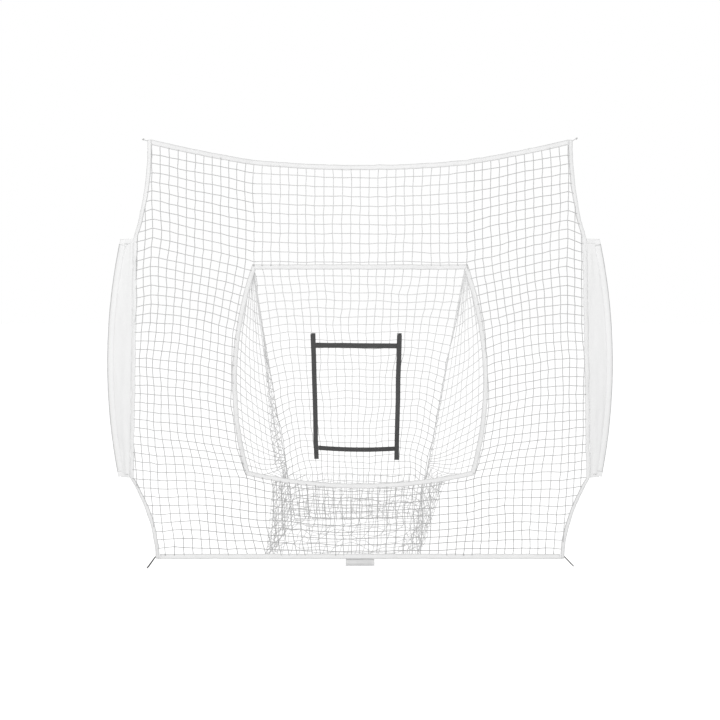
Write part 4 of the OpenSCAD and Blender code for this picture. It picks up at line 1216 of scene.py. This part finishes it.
def make_hem(kit, side, end, start, name, body):
    """A hem across a panel's end, from height start on: folded cloth and the sleeve's hemmed mouth."""
    hem = Shell()
    h = np.linspace(start, start + HEM_L, 12)[:, None]
    share = np.linspace(0, 1, 44)[None, :]
    near, far = seam_s(h) + 0.0005, arc_s(h, SLEEVE_PATH - 0.0068)
    s = near + (far - near) * share
    wave = np.sin(share * 2 * math.pi * 5.5 + end) * 0.0001 + np.sin(share * 17.0) * 0.0001
    edge = np.clip(np.minimum(share, 1 - share) / 0.1, 0, 1)
    flat = strip_point(side, s, np.broadcast_to(h, s.shape), wave * edge)
    cloth_solid(hem, flat, np.broadcast_to(strip_normal(side), flat.shape), HEM_T, (CLOTH_W, HEM_L))

    rings, sides = 11, len(TURNS)
    tip = EDGE_TILT + end * EDGE_SPAN
    centre = np.array(arc_point(SLEEVE_PATH, tip))
    down = np.array([end * math.sin(tip), -end * math.cos(tip)])
    run = np.linspace(0, HEM_L, rings)
    middle = centre + down * run[:, None]
    lip = 0.00012 * np.cos(np.linspace(0, 5 * math.pi, rings))
    walls = []
    for r in (sleeve_round(TURNS, SLEEVE_R, CUSP * 0.8)[None] + lip[:, None],
              np.full((rings, sides), SLEEVE_R - HEM_T / 2)):
        across = r * np.cos(TURNS)[None]
        walls.append(strip_point(side, middle[:, :1] + across * math.cos(tip),
                                 middle[:, 1:] + across * math.sin(tip),
                                 r * np.sin(TURNS)[None]).reshape(-1, 3))
    n, last = rings * sides, (rings - 1) * sides
    faces = []
    for a, b, c, d in ring_faces(rings, sides)[0]:
        faces += [(a, b, c, d), (n + a, n + d, n + c, n + b)]
    for a in range(sides):
        b = (a + 1) % sides
        faces += [(a, n + a, n + b, b), (last + a, last + b, n + last + b, n + last + a)]
    cloth = np.stack([np.repeat(run, sides), np.tile(TURNS * SLEEVE_R, rings), np.zeros(n)], axis=1)
    hem.add(np.concatenate(walls), faces, np.concatenate([cloth, cloth]))
    piece = f"{name}_panel_top_hem" if end > 0 else f"{name}_panel_bottom_hem"
    return hem.build(piece + "_cloth", panel_finish(kit), body, [piece], "panel_fabric")


def stitch_both(seam, side, s, h, out):
    """A row of stitches on each face of a panel, out from its middle plane."""
    for face in (1, -1):
        stitches(seam, strip_point(side, s, h, face * out), strip_normal(side) * face)


def make_panel(kit, side):
    """A side panel with its pole sleeve, hems and stitches, on a body of its own."""
    name = "left" if side < 0 else "right"
    body = name + "_side_panel"
    low, high = PANEL_BOTTOM + HEM_L * 0.6, PANEL_TOP - HEM_L * 0.6
    h = np.linspace(low, high, 150)[:, None]
    share = np.linspace(0, 1, 40)[None, :]
    near, far = seam_s(h) + 0.0008, arc_s(h, EDGE_R - 2 * SLEEVE_R + 0.0006)
    s = near + (far - near) * share
    grid = strip_point(side, s, np.broadcast_to(h, s.shape), panel_waves(side, h, share, low, high))
    panel = Shell()
    cloth_solid(panel, grid, np.broadcast_to(strip_normal(side), grid.shape), PANEL_T, (CLOTH_W, high - low))
    sheet = panel.build(name + "_panel_cloth", panel_finish(kit), body, [name + "_panel"], "panel_fabric")
    sleeve = make_sleeve(kit, side, name, body)

    seam = Shell()
    angle = EDGE_TILT + (EDGE_SPAN - HEM_SPAN) * np.linspace(-1, 1, 200)
    stitch_both(seam, side, *arc_point(SLEEVE_PATH - CUSP + 0.0015, angle), 0.0014)
    level = np.linspace(low, high, 200)
    stitch_both(seam, side, seam_s(level) + 0.0035, level, 0.0012)
    for end, start in ((1, PANEL_TOP - HEM_L), (-1, PANEL_BOTTOM)):
        make_hem(kit, side, end, start, name, body)
        level = start + (0.003 if end > 0 else HEM_L - 0.003)
        first, last = float(seam_s(level)) + 0.0005, float(arc_s(level, SLEEVE_PATH - 0.008))
        row = first + (last - first) * np.linspace(0.03, 0.97, 60)
        stitch_both(seam, side, row, np.full(60, level), 0.0016)
    sewn = seam.build(name + "_panel_stitches", thread_finish("panel_thread", kit.panel_colour), body,
                      slot="panel_fabric")


# ---- Strike zone ----

ZONE_U = ZONE_MID / math.cos(BACK_LEAN)     # the zone's middle, along the back wall from its foot
ZONE_NORMAL = np.array([0, -math.cos(BACK_LEAN), -math.sin(BACK_LEAN)])
ZONE_UP = np.array([0, -math.sin(BACK_LEAN), math.cos(BACK_LEAN)])
ZONE_SEAT = STRAND_T / 2 + SEAM_CLEAR + STRAP_T / 2
TAB_T = 0.0015
BOX_HALF = 0.010            # half the side of the crossed box that holds two straps together
BOX_WALK = ((-1, -1), (1, -1), (1, 1), (-1, 1), (-1, -1), (1, 1))
TUFTS = 160                 # tufts of each grip tab


def zone_uprights(kit, rng, sewn):
    """The zone's left and right strap, with a row of stitches near each end."""
    half = ZONE_H / 2 + STRAP_W / 2 + STRAP_TAIL
    for side, name in ((-1, "zone_left_strap"), (1, "zone_right_strap")):
        x = ZONE_SHIFT + side * ZONE_W / 2
        u = ZONE_U + np.linspace(-half, half, 110) - (0.010 if side > 0 else 0.004)
        out = ZONE_SEAT + wavy(rng, 110, 0.0006, 9)
        path = back_point(x + wavy(rng, 110, 0.0009, 14), u, out)
        strap = Shell()
        ribbon(strap, path, (1, 0, 0), ZONE_NORMAL, STRAP_W + 0.001, STRAP_T, seams=False)
        strap.build(name + "_webbing", strap_finish(kit), "net", [name], "webbing")
        for end in (-1, 1):
            level = ZONE_U + end * (half - 0.004)
            line = back_point(x + np.linspace(-0.011, 0.011, 12), np.full(12, level),
                              ZONE_SEAT + STRAP_T * 0.48)
            stitches(sewn, line, ZONE_NORMAL)


def zone_bars(kit, rng, sewn):
    """The zone's top and bottom strap, sagging a little, with a crossed box at each end."""
    half = (ZONE_W - STRAP_W) / 2
    x = np.linspace(-half, half, 70)
    for end, name in ((-1, "zone_bottom_strap"), (1, "zone_top_strap")):
        level = ZONE_U + end * ZONE_H / 2
        drop = wavy(rng, 70, 0.0007, 10) - 0.0025 * (1 + x / half)
        if end < 0:
            drop = drop - 0.009 * (1 - (x / half) ** 2) + 0.003
        path = back_point(ZONE_SHIFT + x, level + drop, ZONE_SEAT + wavy(rng, 70, 0.0005, 8))
        strap = Shell()
        ribbon(strap, path, ZONE_UP, ZONE_NORMAL, STRAP_W + 0.004, STRAP_T, seams=False)
        strap.build(name + "_webbing", strap_finish(kit), "net", [name], "webbing")
        for side in (-1, 1):
            c = ZONE_SHIFT + side * ZONE_W / 2
            box = np.array(BOX_WALK) * BOX_HALF
            t = np.linspace(0, 1, 12)
            for (x0, y0), (x1, y1) in zip(box[:-1], box[1:]):
                line = back_point(c + x0 + (x1 - x0) * t, level + y0 + (y1 - y0) * t,
                                  ZONE_SEAT + STRAP_T * 0.5)
                stitches(sewn, line, ZONE_NORMAL)


def zone_pads(kit, rng):
    """The grip tabs behind the netting at the uprights' four ends."""
    tabs = Shell()
    for side in (-1, 1):
        for end in (-1, 1):
            level = ZONE_U + end * (ZONE_H / 2 + STRAP_W / 2 + STRAP_TAIL / 2)
            x = ZONE_SHIFT + side * ZONE_W / 2
            u = level + np.linspace(-STRAP_TAIL / 2, STRAP_TAIL / 2, 16)
            out = -(STRAND_T / 2 + SEAM_CLEAR + TAB_T / 2) - np.abs(wavy(rng, 16, 0.0003, 5))
            ribbon(tabs, back_point(x, u, out), (1, 0, 0), ZONE_NORMAL, STRAP_W, TAB_T)
            across, along = rng.uniform(-.011, .011, TUFTS), rng.uniform(-.024, .024, TUFTS)
            knots(tabs, back_point(x + across, level + along, -0.0031), 0.0005)
    tabs.build("zone_grip_pads", strap_finish(kit), "net", ["zone_grip_tabs"], "webbing")


def make_strike_zone(kit):
    """The zone's straps, their stitches and the grip tabs behind the netting."""
    rng = np.random.default_rng(81)
    sewn = Shell()
    zone_uprights(kit, rng, sewn)
    zone_bars(kit, rng, sewn)
    sewn.build("zone_stitches", strap_finish(kit), "net", slot="webbing")
    zone_pads(kit, rng)


# ---- Base wrap ----

WRAP_STEPS = 60             # points across the wrap
WRAP_OUTER = BAR_R + WRAP_T
WRAP_INNER = BAR_R + 0.0001
FOLD_GAP = 0.6              # degrees from the fold under the bar to the cloth on either side
WRAP_ROWS = (110, 140, 175, 215, 250)
FLAP_ROWS = (-75, 20, 60)


def sweep_profile(shell, profile, x, wobble):
    """A band of cloth across the bar: profile in Y and Z, swept along X with a slack wave."""
    profile = np.asarray(profile, float)
    count, sides = len(x), len(profile)
    away = unit_rows(profile - profile.mean(axis=0))
    points = np.empty((count, sides, 3))
    points[..., 0] = x[:, None]
    points[..., 1:] = profile + away * wobble[..., None]
    cloth = np.stack([np.repeat(x, sides), np.tile(run_along(profile), count), np.zeros(count * sides)],
                     axis=1)
    quads, caps = ring_faces(count, sides)
    shell.add(points.reshape(-1, 3), quads + caps, cloth)


def wrap_band(start, stop):
    """Outline of the cloth round the bar between two angles in degrees, out and back."""
    sides = ((WRAP_OUTER - 0.0003, start, stop), (WRAP_INNER, stop, start))
    arcs = []
    for radius, first, last in sides:
        a = np.radians(np.linspace(first, last, 30))
        arcs.append(np.stack([radius * np.cos(a), radius * np.sin(a)], axis=1))
    return np.concatenate(arcs)


def wrap_rows(angles, x):
    """Rows of stitches along the bar, at angles round it in degrees."""
    rows = Shell()
    for angle in angles:
        y, z = math.cos(math.radians(angle)), math.sin(math.radians(angle))
        out = np.array([0, y, z])
        line = np.stack([x * 0.97, np.full(len(x), WRAP_OUTER * y), np.full(len(x), WRAP_OUTER * z)], axis=1)
        stitches(rows, line + out * 0.0001, out)
    return rows


def make_wrap(kit):
    """The wrap round the bar with its tongue sewn to the bottom hem, and the flap that closes it."""
    rng = np.random.default_rng(91)
    top_y = (TAPE_T / 2 + WRAP_T) / math.cos(APRON_LEAN)
    x = np.linspace(-WRAP_L / 2, WRAP_L / 2, WRAP_STEPS)
    swell, still = np.sin(np.linspace(0, math.pi, 30)), np.zeros(30)

    wrap = Shell()
    wave = wavy(rng, WRAP_STEPS, 0.0004, 6)[:, None] * np.concatenate([swell ** 2, still])
    sweep_profile(wrap, wrap_band(math.degrees(math.acos(top_y / WRAP_OUTER)), 270 - FOLD_GAP), x, wave)
    up = np.array([math.sin(APRON_LEAN), math.cos(APRON_LEAN)])
    back = np.array([math.cos(APRON_LEAN), -math.sin(APRON_LEAN)])
    foot = np.array([0, NET_LIFT]) + back * (TAPE_T / 2 + 0.00025 + WRAP_T / 2)
    middle = foot + up * np.linspace(-0.001, TAPE_W, 12)[:, None]
    tongue = np.concatenate([middle + back * WRAP_T * 0.46, (middle - back * WRAP_T * 0.46)[::-1]])
    sweep_profile(wrap, tongue, x, np.zeros((WRAP_STEPS, len(tongue))))
    wrap.build("base_wrap_cloth", wrap_finish(kit), "net", ["base_wrap"], "wrap_fabric")

    flap = Shell()
    wave = wavy(rng, WRAP_STEPS, 0.0006, 7)[:, None] * np.concatenate([swell, still])
    flap_start = math.degrees(math.acos((top_y + 2 * SEAM_CLEAR) / WRAP_OUTER))
    sweep_profile(flap, wrap_band(FOLD_GAP - 90, flap_start)[::-1], x, wave)
    flap.build("base_wrap_flap_cloth", wrap_finish(kit), "wrap_flap", ["base_wrap_flap"], "wrap_fabric")
    for rows, name, body in ((WRAP_ROWS, "base_wrap_stitches", "net"),
                             (FLAP_ROWS, "base_wrap_flap_stitches", "wrap_flap")):
        thread = thread_finish("sewing_thread", kit.thread_colour)
        wrap_rows(rows, x).build(name, thread, body, slot="wrap_fabric")


# ---- Stage ----

LENS = 36.85
CAMERA_BACK = 3.609
CAMERA_H = 1.250            # over the bottom hem
CAMERA_TILT = 4             # degrees below the horizontal
FLOOR_HALF = 60.0


def background_rays(tree):
    """One where the background is seen straight, in a gloss or through glass."""
    rays = add_node(tree, "ShaderNodeLightPath")
    seen = math_of(tree, "MAXIMUM", rays.outputs["Is Camera Ray"], rays.outputs["Is Glossy Ray"])
    return math_of(tree, "MAXIMUM", seen, rays.outputs["Is Transmission Ray"])


def make_stage(kit):
    """Camera, white floor, even light from all round and two soft lamps."""
    scene = bpy.context.scene
    scene.view_settings.view_transform = "Standard"
    camera = bpy.data.cameras.new("front_view")
    camera.lens, camera.sensor_width = LENS, 36.0
    eye = bpy.data.objects.new("front_view", camera)
    eye.location = (0.0, -CAMERA_BACK, CAMERA_H + NET_LIFT)
    eye.rotation_euler = (math.radians(90 - CAMERA_TILT), 0.0, 0.0)
    scene.collection.objects.link(eye)
    scene.camera = eye

    corners = [(x * FLOOR_HALF, y * FLOOR_HALF, -kit.floor_drop)
               for x, y in ((-1, -1), (1, -1), (1, 1), (-1, 1))]
    mesh = bpy.data.meshes.new("studio_floor")
    mesh.from_pydata(corners, [], [(0, 1, 2, 3)])
    floor = bpy.data.objects.new("studio_floor", mesh)
    scene.collection.objects.link(floor)
    ground = bpy.data.materials.new("studio_floor")
    ground.use_nodes = True
    tree = ground.node_tree
    shader = tree.nodes["Principled BSDF"]
    shader.inputs["Base Color"].default_value = tuple(kit.floor_colour) + (1.0,)
    shader.inputs["Roughness"].default_value = 0.9
    shader.inputs["Specular IOR Level"].default_value = 0.0
    shader.inputs["Emission Color"].default_value = (1, 1, 1, 1)
    tree.links.new(math_of(tree, "MULTIPLY", background_rays(tree), kit.floor_lift),
                   shader.inputs["Emission Strength"])
    mesh.materials.append(ground)

    world = bpy.data.worlds.new("studio_air")
    scene.world = world
    world.use_nodes = True
    tree = world.node_tree
    tree.nodes.clear()
    out = add_node(tree, "ShaderNodeOutputWorld")
    air = add_node(tree, "ShaderNodeBackground", Color=(1, 1, 1, 1))
    seen = math_of(tree, "MULTIPLY", background_rays(tree), 1.0 - kit.air_level)
    tree.links.new(math_of(tree, "ADD", seen, kit.air_level), air.inputs["Strength"])
    tree.links.new(air.outputs[0], out.inputs[0])
    target = Vector((0, 0.2, 1.0))
    for name, place, power, width in (("key_lamp", (-2.6, -4.6, 3.6), kit.key_power, 2.6),
                                      ("fill_lamp", (3.4, -3.6, 2.4), kit.key_power * 0.45, 3.0)):
        lamp = bpy.data.lights.new(name, "AREA")
        lamp.energy, lamp.size = power, width
        holder = bpy.data.objects.new(name, lamp)
        holder.location = place
        holder.rotation_euler = (target - Vector(place)).to_track_quat("-Z", "Y").to_euler()
        scene.collection.objects.link(holder)


# ---- Settings, operators and panel ----

def length_prop(name, text, default, low, high):
    return bpy.props.FloatProperty(name=name, description=text, default=default, min=low, max=high,
                                   unit="LENGTH", precision=4)


def colour_prop(name, text, default):
    return bpy.props.FloatVectorProperty(name=name, description=text, default=default, size=3, min=0.0,
                                         max=1.0, subtype="COLOR")


class TARGETNET_PG_settings(bpy.types.PropertyGroup):
    strand_d: length_prop("Twine diameter", "Diameter of the netting's twine", 0.0039, 0.001, 0.005)
    knot_d: length_prop("Knot size", "Size of the knots between meshes", 0.0056, 0.002, 0.01)
    slack: length_prop("Slack", "How far slack netting strays from its plane", 0.0032, 0.0, 0.02)
    tape_thick: length_prop("Tape thickness", "Thickness of a folded tape", 0.0034, 0.001, 0.004)
    gather_strands: bpy.props.IntProperty(
        name="Gathered strands", description="Strands bunched along each crease of the pocket",
        default=6, min=2, max=30)
    netting_colour: colour_prop("Netting", "Colour of the twine", (0.735, 0.735, 0.735))
    tape_colour: colour_prop("Tape", "Colour of the binding tape", (0.91, 0.91, 0.91))
    panel_colour: colour_prop("Panels", "Colour of the side panels' cloth", (0.87, 0.87, 0.87))
    thread_colour: colour_prop("Thread", "Colour of the sewing thread", (0.60, 0.60, 0.60))
    strap_colour: colour_prop("Straps", "Colour of the strike zone's webbing", (0.099, 0.099, 0.100))
    cord_colour: colour_prop("Cords", "Colour of the corner cords", (0.62, 0.62, 0.62))
    elastic_colour: colour_prop("Elastic", "Colour of the elastic loops", (0.006, 0.006, 0.006))
    wrap_colour: colour_prop("Wrap", "Colour of the base wrap", (0.82, 0.82, 0.82))
    floor_colour: colour_prop("Floor", "Colour of the studio floor", (0.85, 0.85, 0.85))
    floor_drop: length_prop("Floor drop", "How far the floor lies below the base bar", 0.11, 0.02, 1.0)
    floor_lift: bpy.props.FloatProperty(name="Floor lift", description="White added to the floor as seen",
                                        default=0.52, min=0.0, max=1.0)
    air_level: bpy.props.FloatProperty(name="Air level", description="Strength of the light from all round",
                                       default=0.62, min=0.0, max=1.0)
    key_power: bpy.props.FloatProperty(name="Key lamp", description="Power of the main lamp",
                                       default=130.0, min=0.0, max=2000.0, unit="POWER")


class TARGETNET_OT_stage(bpy.types.Operator):
    """Set the camera, the floor, the air and the lamps"""
    bl_idname = "target_net.stage"
    bl_label = "Stage"

    def execute(self, context):
        make_stage(context.scene.target_net)
        return {"FINISHED"}


class TARGETNET_OT_corner_ties(bpy.types.Operator):
    """Make the knotted cords and the elastic loops at the corners"""
    bl_idname = "target_net.corner_ties"
    bl_label = "Corner ties"

    def execute(self, context):
        kit = context.scene.target_net
        make_cord(kit, -1, math.radians(17))
        make_cord(kit, 1, math.radians(22))
        make_loop(kit, -1, 0.098, math.radians(46))
        make_loop(kit, 1, 0.094, math.radians(40))
        return {"FINISHED"}


class TARGETNET_OT_front_netting(bpy.types.Operator):
    """Knot the front sheet: band, wings, apron and outer strips"""
    bl_idname = "target_net.front_netting"
    bl_label = "Front netting"

    def execute(self, context):
        make_front(context.scene.target_net)
        return {"FINISHED"}


class TARGETNET_OT_pocket_netting(bpy.types.Operator):
    """Knot the pocket: back wall, side walls with their gathers, and the slack floor"""
    bl_idname = "target_net.pocket_netting"
    bl_label = "Pocket netting"

    def execute(self, context):
        kit = context.scene.target_net
        make_back_wall(kit)
        make_pocket_wall(kit, -1)
        make_pocket_wall(kit, 1)
        make_floor(kit)
        return {"FINISHED"}


class TARGETNET_OT_binding_tapes(bpy.types.Operator):
    """Sew the tapes round the outer edges and the mouth"""
    bl_idname = "target_net.binding_tapes"
    bl_label = "Binding tapes"

    def execute(self, context):
        make_outer_tapes(context.scene.target_net)
        make_mouth_tapes(context.scene.target_net)
        return {"FINISHED"}


class TARGETNET_OT_side_panels(bpy.types.Operator):
    """Sew the two fabric panels with their pole sleeves and hems"""
    bl_idname = "target_net.side_panels"
    bl_label = "Side panels"

    def execute(self, context):
        make_panel(context.scene.target_net, -1)
        make_panel(context.scene.target_net, 1)
        return {"FINISHED"}


class TARGETNET_OT_strike_zone(bpy.types.Operator):
    """Make the webbing strike zone and its grip pads"""
    bl_idname = "target_net.strike_zone"
    bl_label = "Strike zone"

    def execute(self, context):
        make_strike_zone(context.scene.target_net)
        return {"FINISHED"}


class TARGETNET_OT_base_wrap(bpy.types.Operator):
    """Make the wrap that closes round the base bar"""
    bl_idname = "target_net.base_wrap"
    bl_label = "Base wrap"

    def execute(self, context):
        make_wrap(context.scene.target_net)
        return {"FINISHED"}


STEPS = (TARGETNET_OT_stage, TARGETNET_OT_corner_ties, TARGETNET_OT_front_netting,
         TARGETNET_OT_pocket_netting, TARGETNET_OT_binding_tapes, TARGETNET_OT_side_panels,
         TARGETNET_OT_strike_zone, TARGETNET_OT_base_wrap)


class TARGETNET_PT_sidebar(bpy.types.Panel):
    bl_label = "Target net"
    bl_idname = "TARGETNET_PT_sidebar"
    bl_space_type = "VIEW_3D"
    bl_region_type = "UI"
    bl_category = "Target net"

    def draw(self, context):
        kit = context.scene.target_net
        for step in STEPS:
            self.layout.operator(step.bl_idname)
        for key in kit.__annotations__:
            self.layout.prop(kit, key)


CLASSES = (TARGETNET_PG_settings,) + STEPS + (TARGETNET_PT_sidebar,)


def register():
    for item in CLASSES:
        bpy.utils.register_class(item)
    bpy.types.Scene.target_net = bpy.props.PointerProperty(type=TARGETNET_PG_settings)


def unregister():
    del bpy.types.Scene.target_net
    for item in reversed(CLASSES):
        bpy.utils.unregister_class(item)


def main():
    register()
    bpy.ops.target_net.stage()
    bpy.ops.target_net.corner_ties()
    bpy.ops.target_net.front_netting()
    bpy.ops.target_net.pocket_netting()
    bpy.ops.target_net.binding_tapes()
    bpy.ops.target_net.side_panels()
    bpy.ops.target_net.strike_zone()
    bpy.ops.target_net.base_wrap()


if __name__ == "__main__":
    main()
